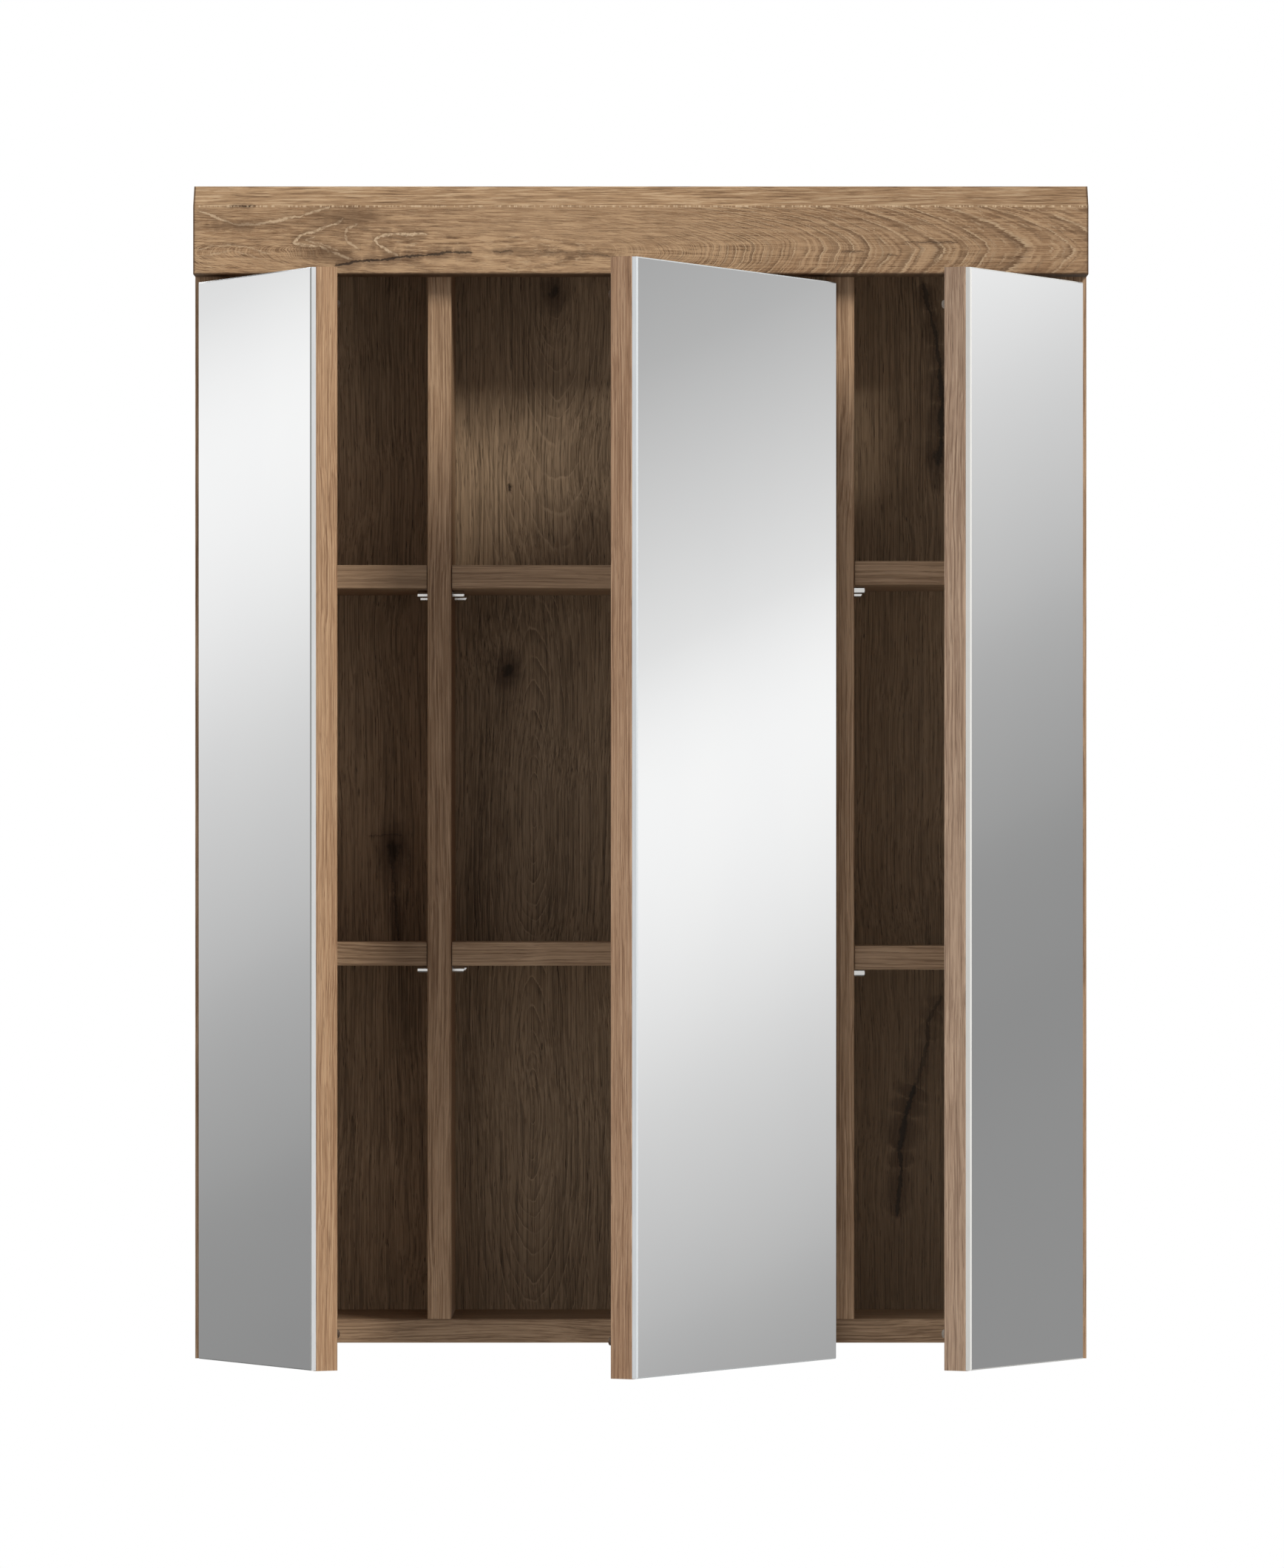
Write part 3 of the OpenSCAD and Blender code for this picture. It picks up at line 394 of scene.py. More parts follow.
def oakMaterial(name, toneName, turn, seed, marks=None, **changes):
    look = plainBoard | changes
    material, tree, shader = newMaterial(name, look["gloss"], Specular_IOR_Level=0.2)
    colors = oakTones[toneName]
    grain = useGroup(tree, oakGrain, {
        "Vector": localPlace(tree, turn), "Seed": seed, "Base": colors["base"],
        "Dark": colors["dark"], "Light": colors["light"], "Line Pitch": look["pitch"],
        "Line Strength": look["lines"], "Wander": look["wander"],
        "Fibre Strength": look["fibres"], "Pore Strength": look["pores"],
        "Tone Strength": look["tones"], "Streak Strength": look["streaks"]})
    color, height = grain["Color"], grain["Height"]
    if marks:
        color, height = marks(tree, color, height, colors)
    gloss = ease(tree, grain["Fibre"], *look["fibreFrom"], look["gloss"] + look["duller"],
                 look["gloss"] - look["shinier"])
    feed(tree, shader, {"Base Color": color, "Roughness": gloss,
                        "Normal": bumpOf(tree, height, look["relief"], look["bump"])})
    return material


def drawLines(tree, place, lines, roughen):
    # the masks of several broken lines drawn on a face
    cores, rims = 0.0, 0.0
    for width, strength, points in lines:
        for (startX, startZ), (endX, endZ) in zip(points, points[1:]):
            piece = useGroup(tree, woodSplit, {
                "Vector": place, "From": (startX, 0, startZ), "To": (endX, 0, endZ),
                "Width": width, "Roughen": roughen})
            cores = calc(tree, "MAXIMUM", cores, times(tree, piece["Core"], strength))
            rims = calc(tree, "MAXIMUM", rims, times(tree, piece["Rim"], strength))
    return cores, rims


def drawKnot(tree, place, spot):
    middleX, middleZ, halfWidth, halfHeight = spot
    return useGroup(tree, woodKnot, {"Vector": place, "Middle": (middleX, 0, middleZ),
                                     "Size": (halfWidth, 1, halfHeight)})


crownMarks = {
    "middle": (-0.0825, 0.003), "bevelLow": 0.0315, "bottom": -0.014, "end": 0.300,
    "rings": {"Count": 9.5, "Point": 0.8, "Wave": 0.026, "Jag": 0.4, "Seed": 3.0},
    "bevelPale": tone(206, 170, 130), "bevelStreak": tone(212, 182, 146),
    "bevelHighlight": tone(214, 186, 152), "ringPale": tone(206, 178, 144),
    "veinPale": tone(214, 187, 154), "splitRim": tone(92, 68, 50), "splitCore": tone(44, 33, 26),
    "edgeShade": tone(70, 51, 36),
    # how strongly each layer covers the oak under it
    "shares": {"bevelPale": 0.24, "ringDark": 0.5, "ringPale": 0.8, "veinRim": 0.36, "dusk": 0.5,
               "splitRim": 0.52, "splitCore": 0.85, "edgeShade": 0.75},
    # layers that follow a noise: where each starts, where it is full, and its share
    "streakPale": (0.53, 0.6, 0.62), "streakDark": (0.46, 0.37, 0.55),
    "straightPale": (0.54, 0.6, 0.8), "straightDark": (0.45, 0.38, 0.6),
    "fleckPale": (0.57, 0.63, 0.65), "dashPale": (0.5, 0.62, 0.7), "dashDark": (0.48, 0.35, 0.45),
    "highlightDots": (0.48, 0.6, 0.8), "veinFrom": (0.38, 0.54, 0.25, 0.85),
    # along the board: where the rings start, the paler part's middle and width, and the
    # darker part; then the bevel by its slope, and where the rings are too close to see
    "ringsFrom": (-0.02, 0.06), "paleMiddle": -0.05, "palePart": (0.11, 0.03, 0.13),
    "darkPart": (0.04, 0.14, 0.2), "bevelFrom": (0.3, 0.5), "closeFrom": (0.2, 0.09, 0.3, 1.0),
    # distances from the bevel's start, the lower edge and the ends
    "highlightWidth": (0.001, 0.0004), "lowShade": (0.0024, 0.0008), "endShade": (0.0016, 0.0006),
    "endSlope": (0.7, 0.4), "edgeReach": 0.001,
    "ringRelief": 0.4, "splitRelief": 2.0,
    # ripples per metre
    "bevelGrain": (34, 420, 780), "veinBreaks": (380, 150, 520), "highlightBreaks": (620, 40, 40),
    "edgeBreaks": (300, 40, 300), "fleckLength": 52.0, "fleckWidth": 640.0, "fleckSlope": 0.07,
    "roughen": 0.004,
    # dark splits, and pale veins left of the middle: width, strength, and points as x and z
    "splits": [
        (0.0012, 1.0, [(-0.2044, -0.0082), (-0.1866, -0.0052), (-0.1747, -0.0042),
                       (-0.1608, -0.0028), (-0.1449, -0.0012), (-0.1251, 0.0007),
                       (-0.1132, 0.0007)]),
        (0.0007, 0.8, [(-0.0990, 0.0012), (-0.0860, 0.0012)]),
        (0.0004, 0.5, [(-0.0780, 0.0014), (-0.0420, 0.0004), (-0.0050, -0.0036)]),
        (0.0005, 1.0, [(-0.1885, -0.0062), (-0.1608, -0.0022)]),
        (0.0004, 0.7, [(0.1772, 0.0076), (0.2124, 0.0074)]),
        (0.0004, 0.7, [(0.1341, 0.0009), (0.1495, 0.0011)]),
        (0.0003, 0.6, [(0.1653, -0.0010), (0.1723, -0.0012)]),
        (0.0005, 1.0, [(-0.2757, 0.0318), (-0.2584, 0.0320)])],
    "veins": [
        (0.0012, 0.8, [(-0.2976, 0.0288), (-0.2727, 0.0196), (-0.2584, 0.0188),
                       (-0.2262, 0.0255), (-0.2081, 0.0312)]),
        (0.0013, 1.0, [(-0.1994, 0.0230), (-0.2061, 0.0194), (-0.2262, 0.0126),
                       (-0.2338, 0.0068), (-0.2158, 0.0050), (-0.2081, 0.0012),
                       (-0.1930, -0.0047)]),
        (0.0008, 0.7, [(-0.2190, 0.0118), (-0.2242, 0.0088), (-0.2130, 0.0058),
                       (-0.2030, 0.0016)]),
        (0.0010, 0.7, [(-0.1899, 0.0195), (-0.1967, 0.0169), (-0.1985, 0.0128),
                       (-0.1967, 0.0077), (-0.1882, 0.0027)]),
        (0.0013, 1.0, [(-0.1434, 0.0131), (-0.1662, 0.0126), (-0.1747, 0.0120),
                       (-0.1786, 0.0086), (-0.1757, 0.0050), (-0.1662, 0.0002),
                       (-0.1622, -0.0022)]),
        (0.0008, 0.5, [(-0.2979, 0.0011), (-0.2858, 0.0052), (-0.2653, 0.0044),
                       (-0.2482, -0.0006)]),
        (0.0007, 0.4, [(-0.2945, -0.0023), (-0.2739, 0.0019), (-0.2533, -0.0040)])],
    # soft dusky places: x, z, half width and half height
    "dusks": [
        (-0.195, 0.0245, 0.011, 0.003), (-0.2125, -0.001, 0.009, 0.0022),
        (-0.0904, 0.0019, 0.008, 0.0012), (-0.051, -0.0004, 0.018, 0.0009),
        (-0.275, 0.018, 0.011, 0.0014)],
}


def markCrown(tree, color, height, colors):
    look = crownMarks
    share, ringPale = look["shares"], look["ringPale"]
    dark, light = colors["dark"], colors["light"]
    coords = addNode(tree, "TexCoord").outputs
    place = coords["Object"]
    x, _, z = splitParts(tree, place)
    normalX, _, normalZ = splitParts(tree, coords["Normal"])
    middleX, middleZ = look["middle"]
    centred = vectorCalc(tree, "SUBTRACT", place, (middleX, 0, middleZ))
    rings = useGroup(tree, yearRings, {"Vector": centred} | look["rings"])
    # the bevel and the top are cut from straight grain
    sloped = ease(tree, normalZ, *look["bevelFrom"])
    face = calc(tree, "SUBTRACT", 1.0, sloped)
    straight = noiseOf(tree, place, look["bevelGrain"], 3, 0.65)
    color = tinted(tree, color, look["bevelPale"], sloped, share["bevelPale"])
    color = tinted(tree, color, look["bevelStreak"],
                   maskOf(tree, straight, look["streakPale"]), sloped)
    color = tinted(tree, color, dark, maskOf(tree, straight, look["streakDark"]), sloped)
    # fine flecks: straight where the rings are too close to see, and along the rings
    drift = calc(tree, "MULTIPLY_ADD", x, look["fleckSlope"], z)
    lane = joinParts(tree, times(tree, x, look["fleckLength"]), 0.0,
                     times(tree, drift, look["fleckWidth"]))
    slanted = plainNoise(tree, lane, 3.0, 0.65)
    close = times(tree, ease(tree, rings["Field"], *look["closeFrom"]), face)
    color = tinted(tree, color, light, maskOf(tree, slanted, look["straightPale"]), close)
    color = tinted(tree, color, dark, maskOf(tree, slanted, look["straightDark"]), close)
    color = tinted(tree, color, ringPale, maskOf(tree, rings["Fleck"], look["fleckPale"]), face)
    color = tinted(tree, color, light, maskOf(tree, rings["Dash"], look["dashPale"]), face)
    color = tinted(tree, color, dark, maskOf(tree, rings["Dash"], look["dashDark"]), face)
    # the rings themselves are drawn right of the middle alone
    onRight = times(tree, ease(tree, x, *look["ringsFrom"]), face)
    color = tinted(tree, color, dark, rings["Dark"], onRight, share["ringDark"])
    color = tinted(tree, color, ringPale, rings["Light"], onRight, share["ringPale"])
    flat = vectorCalc(tree, "MULTIPLY", place, (1, 0, 1))
    veins, veinRims = drawLines(tree, flat, look["veins"], look["roughen"])
    broken = ease(tree, noiseOf(tree, place, look["veinBreaks"], 3, 0.6), *look["veinFrom"])
    color = tinted(tree, color, dark, veinRims, face, share["veinRim"])
    color = tinted(tree, color, look["veinPale"], veins, face, broken)
    for spot in look["dusks"]:
        color = tinted(tree, color, dark, drawKnot(tree, flat, spot)["Rim"], share["dusk"])
    cores, rims = drawLines(tree, flat, look["splits"], look["roughen"])
    color = tinted(tree, color, look["splitRim"], rims, share["splitRim"])
    color = tinted(tree, color, look["splitCore"], cores, share["splitCore"])
    # the board is paler left of its middle and darker to the right
    fromPale = calc(tree, "ABSOLUTE", calc(tree, "SUBTRACT", x, look["paleMiddle"]))
    color = tinted(tree, color, light, maskOf(tree, fromPale, look["palePart"]))
    color = tinted(tree, color, dark, maskOf(tree, x, look["darkPart"]))
    # painted highlight: a broken pale line where the bevel starts, on the fold that catches the
    # light
    fromBevel = calc(tree, "ABSOLUTE", calc(tree, "SUBTRACT", z, look["bevelLow"]))
    dots = maskOf(tree, noiseOf(tree, place, look["highlightBreaks"], 3, 0.7), look["highlightDots"])
    color = tinted(tree, color, look["bevelHighlight"], ease(tree, fromBevel, *look["highlightWidth"]), dots)
    # painted shade along the lower edge and the ends of the face
    uneven = times(tree, noiseOf(tree, place, look["edgeBreaks"]), look["edgeReach"])
    fromBottom = calc(tree, "SUBTRACT", calc(tree, "ADD", uneven, z), look["bottom"])
    fromEnd = calc(tree, "SUBTRACT", look["end"], calc(tree, "ABSOLUTE", x))
    low = ease(tree, fromBottom, *look["lowShade"])
    ends = times(tree, ease(tree, fromEnd, *look["endShade"]),
                 ease(tree, calc(tree, "ABSOLUTE", normalX), *look["endSlope"]))
    color = tinted(tree, color, look["edgeShade"], calc(tree, "MAXIMUM", low, ends),
                   share["edgeShade"])
    ringDip = times(tree, rings["Dark"], onRight)
    height = calc(tree, "MULTIPLY_ADD", ringDip, -look["ringRelief"], height)
    return color, calc(tree, "MULTIPLY_ADD", cores, -look["splitRelief"], height)


backMarks = {
    # year rings in the middle column, from the top down: x and z of each middle, and its top
    "flames": [(-0.058, 0.03, 0.1), (-0.073, -0.374, -0.225), (-0.074, -0.578, -0.478)],
    "flameHalf": 0.075, "flameCore": 0.035, "roughen": 0.006,
    "rings": {"Slim": 0.2, "Low Squeeze": 1.0, "Left Squeeze": 0.8, "Count": 19.0, "Start": 0.3,
              "Wave": 0.04, "Jag": 0.25, "Seed": 7.0},
    "markRim": tone(80, 62, 47), "markCore": tone(36, 28, 21), "markRelief": 2.5,
    "shares": {"ringDark": 0.32, "ringLight": 0.75, "knotCore": 0.8, "markRim": 0.75,
               "markCore": 0.9},
    # heights between which the upper flame turns faint, where the right column starts, and
    # two heights from which painted shade darkens its wood, where it is full and how much
    "upperFrom": (-0.26, -0.2, 1.0, 0.6), "rightColumn": (0.12, 0.15),
    "shadeSteps": [(-0.22, -0.3, 0.2), (-0.45, -0.52, 0.14)],
    # x, z, half width and half height
    "knots": [
        (-0.0593, -0.0145, 0.0045, 0.0075), (-0.0914, -0.2758, 0.0045, 0.006),
        (-0.1705, -0.400, 0.0055, 0.010), (0.2045, -0.1290, 0.0035, 0.009),
        (-0.0908, -0.150, 0.0009, 0.0013)],
    # width, strength, and points as x and z
    "splits": [
        (0.0016, 0.6, [(-0.1715, -0.3945), (-0.1700, -0.4300), (-0.1665, -0.4640)]),
        (0.0010, 0.35, [(-0.1870, -0.3905), (-0.1760, -0.3880), (-0.1640, -0.3895)]),
        (0.0010, 0.3, [(-0.1600, -0.3990), (-0.1585, -0.4200), (-0.1620, -0.4400)]),
        (0.0020, 0.8, [(0.1945, -0.0092), (0.1989, -0.0278), (0.2043, -0.0517),
                       (0.2060, -0.0676)]),
        (0.0028, 0.9, [(0.2060, -0.0676), (0.2072, -0.0915), (0.2066, -0.1154),
                       (0.2050, -0.1330)]),
        (0.0020, 0.6, [(0.2066, -0.4999), (0.2020, -0.5090), (0.1969, -0.5182),
                       (0.1984, -0.5309), (0.1887, -0.5620)]),
        (0.0032, 1.0, [(0.1887, -0.5620), (0.1852, -0.5707), (0.1826, -0.5819),
                       (0.1781, -0.6053)]),
        (0.0024, 0.9, [(0.1781, -0.6053), (0.1796, -0.6180), (0.1760, -0.6511)])],
}


def markBack(tree, color, height, colors):
    look = backMarks
    share, dark = look["shares"], colors["dark"]
    place = addNode(tree, "TexCoord").outputs["Object"]
    x, _, z = splitParts(tree, place)
    flat = vectorCalc(tree, "MULTIPLY", place, (1, 0, 1))
    centreX, centreZ = look["flames"][0][:2]
    for nextX, nextZ, top in look["flames"][1:]:
        isBelow = calc(tree, "LESS_THAN", z, top)
        centreX = mixValues(tree, isBelow, centreX, nextX)
        centreZ = mixValues(tree, isBelow, centreZ, nextZ)
    side = calc(tree, "SUBTRACT", x, centreX)
    turned = joinParts(tree, calc(tree, "SUBTRACT", centreZ, z), 0.0, side)
    rings = useGroup(tree, yearRings, {"Vector": turned} | look["rings"])
    near = times(tree, ease(tree, calc(tree, "ABSOLUTE", side), look["flameHalf"],
                            look["flameCore"]),
                 ease(tree, z, *look["upperFrom"]))
    color = tinted(tree, color, dark, rings["Dark"], near, share["ringDark"])
    color = tinted(tree, color, colors["light"], rings["Light"], near, share["ringLight"])
    # painted shade: the right column's wood is darkened towards its foot
    shadeDepth = calc(tree, "ADD", *[maskOf(tree, z, layer) for layer in look["shadeSteps"]])
    color = tinted(tree, color, dark, ease(tree, x, *look["rightColumn"]), shadeDepth)
    cores, rims = drawLines(tree, flat, look["splits"], look["roughen"])
    for spot in look["knots"]:
        knot = drawKnot(tree, flat, spot)
        cores = calc(tree, "MAXIMUM", cores, times(tree, knot["Core"], share["knotCore"]))
        rims = calc(tree, "MAXIMUM", rims, knot["Rim"])
    color = tinted(tree, color, look["markRim"], rims, share["markRim"])
    color = tinted(tree, color, look["markCore"], cores, share["markCore"])
    return color, calc(tree, "MULTIPLY_ADD", cores, -look["markRelief"], height)


shelfLook = dict(pitch=0.0027, streaks=0.55)
doorLook = dict(lines=0.5, pitch=0.0022, streaks=0.5, fibres=0.6, pores=0.5, tones=0.25)
doorTurns = {"left": math.radians(-60), "middle": math.radians(60), "right": math.radians(60)}
finishes = {
    "uprightBoard": oakMaterial("uprightBoard", "divider", upright, 1.5, tones=0.2, pitch=0.0031,
                                lines=0.66, streaks=0.6, fibres=0.6),
    "shadedFloorBoard": oakMaterial("shadedFloorBoard", "shadedFloorBoard", level, 4.0, **shelfLook),
    "crownBoard": oakMaterial("crownBoard", "crown", level, 9.0, markCrown, lines=0.1,
                              fibres=0.8, pores=0.45, streaks=0.35),
    "backBoard": oakMaterial("backBoard", "back", upright, 14.0, markBack, lines=0.5,
                             pitch=0.0034, wander=0.02, fibres=0.6, pores=0.8, tones=0.6,
                             streaks=0.5),
    "dowelWood": oakMaterial("dowelWood", "edge", level, 21.0),
}
for number, side in enumerate(sides):
    finishes[side + "ShelfBoard"] = oakMaterial(side + "ShelfBoard", side + "Shelf", level,
                                                5.0 + number, **shelfLook)
    finishes[side + "Door"] = oakMaterial(side + "Door", side + "Edge", (0, 0, doorTurns[side]),
                                          2.0 * number, **doorLook)
print("oak finishes built")

mirrorLook = {
    "silver": (0.98, 0.985, 0.985, 1), "dimSilver": (0.97, 0.975, 0.978, 1),
    "smear": (9, 9, 5), "ground": (400, 400, 30), "groundDull": tone(180, 184, 182),
    # the flat face and the bevel by how far they turn towards the door's front
    "faceFrom": (0.93, 0.97), "bevelFrom": (0.5, 0.6), "smearFrom": (0.35, 0.7),
    "groundShare": 0.4, "glassRoughness": 0.3,
    "edge": {"left": tone(222, 224, 226), "middle": tone(233, 236, 238),
             "right": tone(222, 219, 213)},
    "bevel": {"left": tone(150, 151, 150), "middle": tone(222, 226, 228),
              "right": tone(232, 231, 227)},
}


def mirrorMaterial(side):
    # silver on the flat face alone; the ground bevel and the edges stay pale glass
    look = mirrorLook
    material, tree, shader = newMaterial(side + "MirrorGlass", 0.0)
    coords = addNode(tree, "TexCoord").outputs
    turn = doorTurns[side]
    faceNormal = (math.sin(turn), -math.cos(turn), 0)
    facing = vectorCalc(tree, "DOT_PRODUCT", coords["Normal"], faceNormal)
    front = ease(tree, facing, *look["faceFrom"])
    smear = ease(tree, noiseOf(tree, coords["Object"], look["smear"], 3), *look["smearFrom"])
    silver = mixColors(tree, smear, look["silver"], look["dimSilver"])
    ground = tinted(tree, look["edge"][side], look["groundDull"],
                    noiseOf(tree, coords["Object"], look["ground"]), look["groundShare"])
    glass = mixColors(tree, ease(tree, facing, *look["bevelFrom"]), ground, look["bevel"][side])
    roughness = look["glassRoughness"]
    feed(tree, shader, {
        "Base Color": mixColors(tree, front, glass, silver), "Metallic": front,
        "Roughness": calc(tree, "MULTIPLY_ADD", front, -roughness, roughness)})
    return material


steelLook = dict(dulling=0.82, relief=0.00004, strength=0.4)
plasticLook = dict(dulling=0.86, relief=0.00005, strength=0.3)


def wornMaterial(name, look, color, low, high, **fixed):
    # a plain colour with clouds and fine scratches, and a roughness between low and high
    material, tree, shader = newMaterial(name, low, **fixed)
    place = addNode(tree, "TexCoord").outputs["Object"]
    wear = useGroup(tree, surfaceWear, {"Vector": place, "Low": low, "High": high})
    dull = tuple(part * look["dulling"] for part in color[:3]) + (1,)
    feed(tree, shader, {
        "Base Color": mixColors(tree, wear["Cloud"], dull, color),
        "Roughness": wear["Roughness"],
        "Normal": bumpOf(tree, wear["Height"], look["relief"], look["strength"])})
    return material


steels = {
    # colour, then the lowest and the highest roughness
    "hingeSteel": ((0.72, 0.72, 0.71, 1), 0.2, 0.34),
    "pinSteel": ((0.86, 0.86, 0.86, 1), 0.1, 0.2),
    "screwSteel": ((0.66, 0.65, 0.63, 1), 0.25, 0.42),
    "bracketSteel": ((0.62, 0.62, 0.6, 1), 0.32, 0.5),
}
for name, values in steels.items():
    finishes[name] = wornMaterial(name, steelLook, *values, Metallic=1.0)
finishes["clearPlastic"] = wornMaterial(
    "clearPlastic", plasticLook, (0.4, 0.33, 0.27, 1), 0.35, 0.5, Transmission_Weight=0.95,
    IOR=1.25, Specular_IOR_Level=0.2)
finishes["capPlastic"] = wornMaterial("capPlastic", plasticLook, tone(160, 130, 104), 0.4, 0.55)
for side in sides:
    finishes[side + "Mirror"] = mirrorMaterial(side)
print("glass, metal and plastic finishes built")

# what each CAD node is finished in
nodeFinishes = {
    "uprightBoard": ["left_side_panel", "right_side_panel", "left_divider", "right_divider"],
    "shadedFloorBoard": ["top_panel", "bottom_panel"],
    "crownBoard": ["crown"],
    "backBoard": ["back_panel"],
    "dowelWood": ["carcass_dowels"],
    "hingeSteel": [f"{side}_hinge_{part}" for side in sides
                   for part in ("plates", "arms", "links", "cups")],
    "pinSteel": [f"{side}_{kind}_pins" for side in sides for kind in ("shelf", "arm", "cup")],
    "screwSteel": ["plate_screws", "arm_screws", "bracket_screws"]
                  + [side + "_cup_screws" for side in sides],
    "bracketSteel": ["left_wall_bracket", "right_wall_bracket"],
    "clearPlastic": [side + "_door_buffers" for side in sides],
    "capPlastic": ["access_caps"],
}
for side in sides:
    nodeFinishes[side + "ShelfBoard"] = [side + "_upper_shelf", side + "_lower_shelf"]
    nodeFinishes[side + "Door"] = [side + "_door_board"]
    nodeFinishes[side + "Mirror"] = [side + "_mirror"]
for finish, names in nodeFinishes.items():
    for name in names:
        for slot in nodes[name].material_slots:
            slot.material = finishes[finish]
finished = {name for names in nodeFinishes.values() for name in names}
print("nodes without a finish:", sorted(set(nodes) - finished))

# what the middle mirror would pick up, which the photograph's mirrors don't show
unseenInMirror = [name for name in nodes if name.startswith("right_") or name.endswith("screws")]
unseenInMirror += ["crown", "bottom_panel", "carcass_dowels", "access_caps"]
for name in unseenInMirror:
    nodes[name].visible_glossy = False

mirrorRoom = {
    # a pale band runs across behind each door's mirror, and fades to grey above and below:
    # slopes from the band's middle, and greys
    "band": [(-0.12, 142), (-0.055, 180), (-0.02, 226), (0.0, 246), (0.03, 219), (0.06, 183),
             (0.085, 155), (0.105, 143)],
    "bandScale": 4.0, "swingFrom": math.radians(30), "swingLimit": 0.5,
    # the slope where the band starts, and how it leans, behind the left, middle and right
    # mirror, with the swing between the last two
    "leftStart": 0.0749, "middleStart": 0.0072, "rightStart": 0.0714, "lean": 0.5,
    "rightFrom": (math.radians(1.45), math.radians(2.2)),
    # the same in front of the cabinet, and where that part of the room begins
    "frontStart": 0.05, "frontFrom": (0.1, -0.2),
    "ceiling": tone(52, 52, 54), "ceilingFrom": (0.16, 0.4),
    "ground": tone(236, 236, 236), "groundFrom": (-0.1, -0.22),
}
# what the duller surfaces see: bright at eye level, dimmer overhead and towards the wall
calmRoom = {"eyeLevel": tone(222, 221, 218), "eyeLevelFrom": (4.0, 1.8),
            "overhead": tone(60, 58, 56), "wall": tone(150, 148, 144), "wallFrom": (0.0, 0.4),
            "ambient": (0.455, 0.475, 0.505, 1)}
white = (1, 1, 1, 1)


def buildWorld():
    look = mirrorRoom
    world = bpy.data.worlds.new("studioWorld")
    bpy.context.scene.world = world
    world.use_nodes = True
    tree = world.node_tree
    tree.nodes.clear()
    x, y, z = splitParts(tree, addNode(tree, "TexCoord").outputs["Generated"])
    flatLength = calc(tree, "SQRT", calc(tree, "ADD", times(tree, x, x), times(tree, y, y)))
    slope = calc(tree, "DIVIDE", z, calc(tree, "MAXIMUM", flatLength, 0.001))
    swing = calc(tree, "ARCTAN2", y, calc(tree, "ABSOLUTE", x))
    swing = calc(tree, "SUBTRACT", swing, look["swingFrom"])
    swing = calc(tree, "MAXIMUM", swing, -look["swingLimit"])
    swing = calc(tree, "MINIMUM", swing, look["swingLimit"])
    start = ease(tree, swing, *look["rightFrom"], look["middleStart"], look["rightStart"])
    isLeft = calc(tree, "LESS_THAN", x, 0.0)
    start = mixValues(tree, isLeft, start, look["leftStart"])
    lean = mixValues(tree, isLeft, look["lean"], -look["lean"])
    # how far a ray goes below the band: behind the doors, and in front of the cabinet
    drop = calc(tree, "SUBTRACT", calc(tree, "MULTIPLY_ADD", swing, lean, start), slope)
    front = calc(tree, "MULTIPLY_ADD", x, look["lean"], look["frontStart"])
    front = calc(tree, "SUBTRACT", front, slope)
    drop = mixValues(tree, ease(tree, y, *look["frontFrom"]), drop, front)
    ramp = addNode(tree, "ValToRGB", {
        0: calc(tree, "MULTIPLY_ADD", drop, look["bandScale"], 0.5, clamp=True)})
    ramp.color_ramp.interpolation = "CARDINAL"
    while len(ramp.color_ramp.elements) < len(look["band"]):
        ramp.color_ramp.elements.new(0.5)
    for element, (offset, grey) in zip(ramp.color_ramp.elements, look["band"]):
        element.position = offset * look["bandScale"] + 0.5
        element.color = tone(grey, grey, grey)
    high = ease(tree, slope, *look["ceilingFrom"])
    low = ease(tree, slope, *look["groundFrom"])
    sharp = mixColors(tree, high, ramp.outputs[0], look["ceiling"])
    sharp = mixColors(tree, low, sharp, look["ground"])
    calm = mixColors(tree, ease(tree, calc(tree, "ABSOLUTE", slope), *calmRoom["eyeLevelFrom"]),
                     calmRoom["overhead"], calmRoom["eyeLevel"])
    calm = mixColors(tree, ease(tree, y, *calmRoom["wallFrom"]), calm, calmRoom["wall"])
    # sharp mirrors see the band, dull shine the calm room, bounced light an even grey
    ray = addNode(tree, "LightPath").outputs
    shine = mixColors(tree, ray["Is Singular Ray"], calm, sharp)
    direct = times(tree, ray["Is Glossy Ray"],
                   calc(tree, "LESS_THAN", ray["Diffuse Depth"], 0.5))
    color = mixColors(tree, direct, calmRoom["ambient"], shine)
    seen = calc(tree, "MAXIMUM", ray["Is Camera Ray"], ray["Is Transmission Ray"])
    color = mixColors(tree, seen, color, white)
    shader = addNode(tree, "Background", {"Color": color, "Strength": 1.0}).outputs[0]
    feed(tree, tree.nodes.new("ShaderNodeOutputWorld"), {"Surface": shader})


lampTarget = (0, -0.15, -0.35)
lamps = {
    # place, width and height, power, colour, and whether mirrors and dull shine see it
    "keyBox": ((3.27, -5.18, 3.12), (0.68, 2.0), 272, (1.0, 0.965, 0.91), True),
    "leftFill": ((-2.6, -3.4, 0.2), (1.6, 1.6), 11, (1, 1, 1), False),
    "backFill": ((-1.6, 3.6, 1.4), (1.6, 1.6), 60, (1, 1, 1), True),
}


def addLamp(name, place, size, power, color, isReflected):
    light = bpy.data.lights.new(name, "AREA")
    light.shape = "RECTANGLE"
    light.size, light.size_y = size
    light.energy = power
    light.color = color
    lamp = bpy.data.objects.new(name, light)
    lamp.location = place
    aim = Vector(lampTarget) - Vector(place)
    lamp.rotation_euler = aim.to_track_quat("-Z", "Y").to_euler()
    lamp.visible_glossy = isReflected
    bpy.context.scene.collection.objects.link(lamp)


floorLook = {"level": -1.95, "radius": 5.9, "segments": 96, "paint": tone(206, 206, 205),
             "speck": tone(214, 214, 213), "specks": (40, 40, 40), "roughness": 0.9,
             "lift": 0.5, "rimFrom": (2.0, 5.4)}


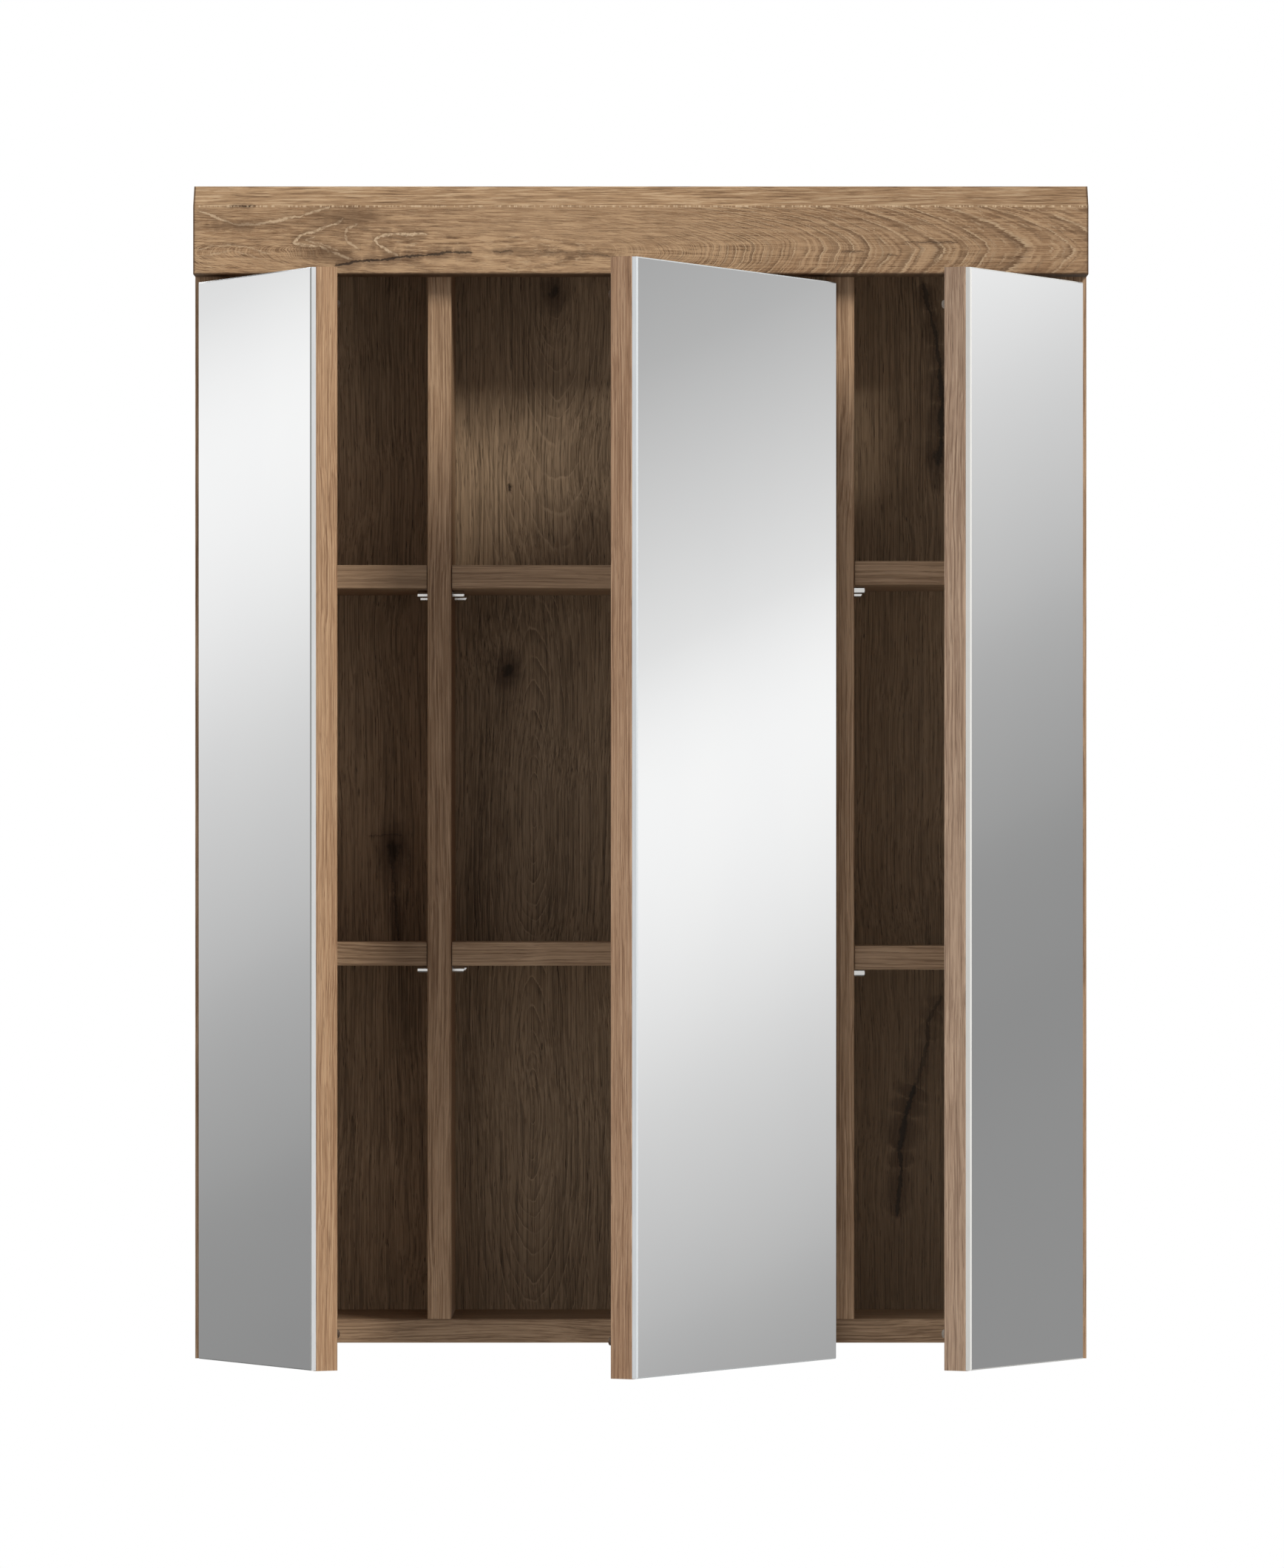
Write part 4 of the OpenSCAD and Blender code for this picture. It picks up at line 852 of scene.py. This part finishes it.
def buildFloor():
    look = floorLook
    mesh = bpy.data.meshes.new("studioFloor")
    build = bmesh.new()
    bmesh.ops.create_circle(build, cap_ends=True, radius=look["radius"],
                            segments=look["segments"])
    build.to_mesh(mesh)
    build.free()
    floor = bpy.data.objects.new("studioFloor", mesh)
    floor.location.z = look["level"]
    bpy.context.scene.collection.objects.link(floor)
    material, tree, shader = newMaterial("floorPaint", look["roughness"],
                                         Specular_IOR_Level=0.1)
    place = addNode(tree, "TexCoord").outputs["Object"]
    speck = noiseOf(tree, place, look["specks"], 3)
    feed(tree, shader, {"Base Color": mixColors(tree, speck, look["paint"], look["speck"])})
    # to the camera the paint is lifted and goes over into the white background
    ray = addNode(tree, "LightPath").outputs
    seen = calc(tree, "MAXIMUM", ray["Is Glossy Ray"], ray["Is Transmission Ray"])
    seen = calc(tree, "MAXIMUM", ray["Is Camera Ray"], seen)
    rim = ease(tree, vectorCalc(tree, "LENGTH", place), *look["rimFrom"])
    glow = addNode(tree, "Emission", {"Color": white, "Strength": 1.0}).outputs[0]
    lift = addNode(tree, "Emission", {"Color": white,
                                      "Strength": times(tree, seen, look["lift"])}).outputs[0]
    lit = addNode(tree, "AddShader", {0: shader.outputs[0], 1: lift}).outputs[0]
    both = addNode(tree, "MixShader", {0: times(tree, rim, seen), 1: lit, 2: glow}).outputs[0]
    feed(tree, tree.nodes["Material Output"], {"Surface": both})
    mesh.materials.append(material)
    floor.visible_glossy = False    # the world has its own pale ground for mirrors and metal


buildWorld()
for name, values in lamps.items():
    addLamp(name, *values)
buildFloor()
print("world, lamps and floor built")

cameraView = {"place": (0.0, -5.774, -0.425), "lens": 192.0, "sensor": 36,
              "shiftX": 0.00075, "shiftY": 0.066}
camera = bpy.data.objects.new("photoCamera", bpy.data.cameras.new("photoCamera"))
camera.location = cameraView["place"]
camera.rotation_euler = (math.radians(90), 0, 0)
camera.data.lens = cameraView["lens"]
camera.data.sensor_width = cameraView["sensor"]
camera.data.shift_x = cameraView["shiftX"]
camera.data.shift_y = cameraView["shiftY"]
bpy.context.scene.collection.objects.link(camera)
bpy.context.scene.camera = camera
bpy.context.scene.view_settings.view_transform = "Standard"
print("camera placed")
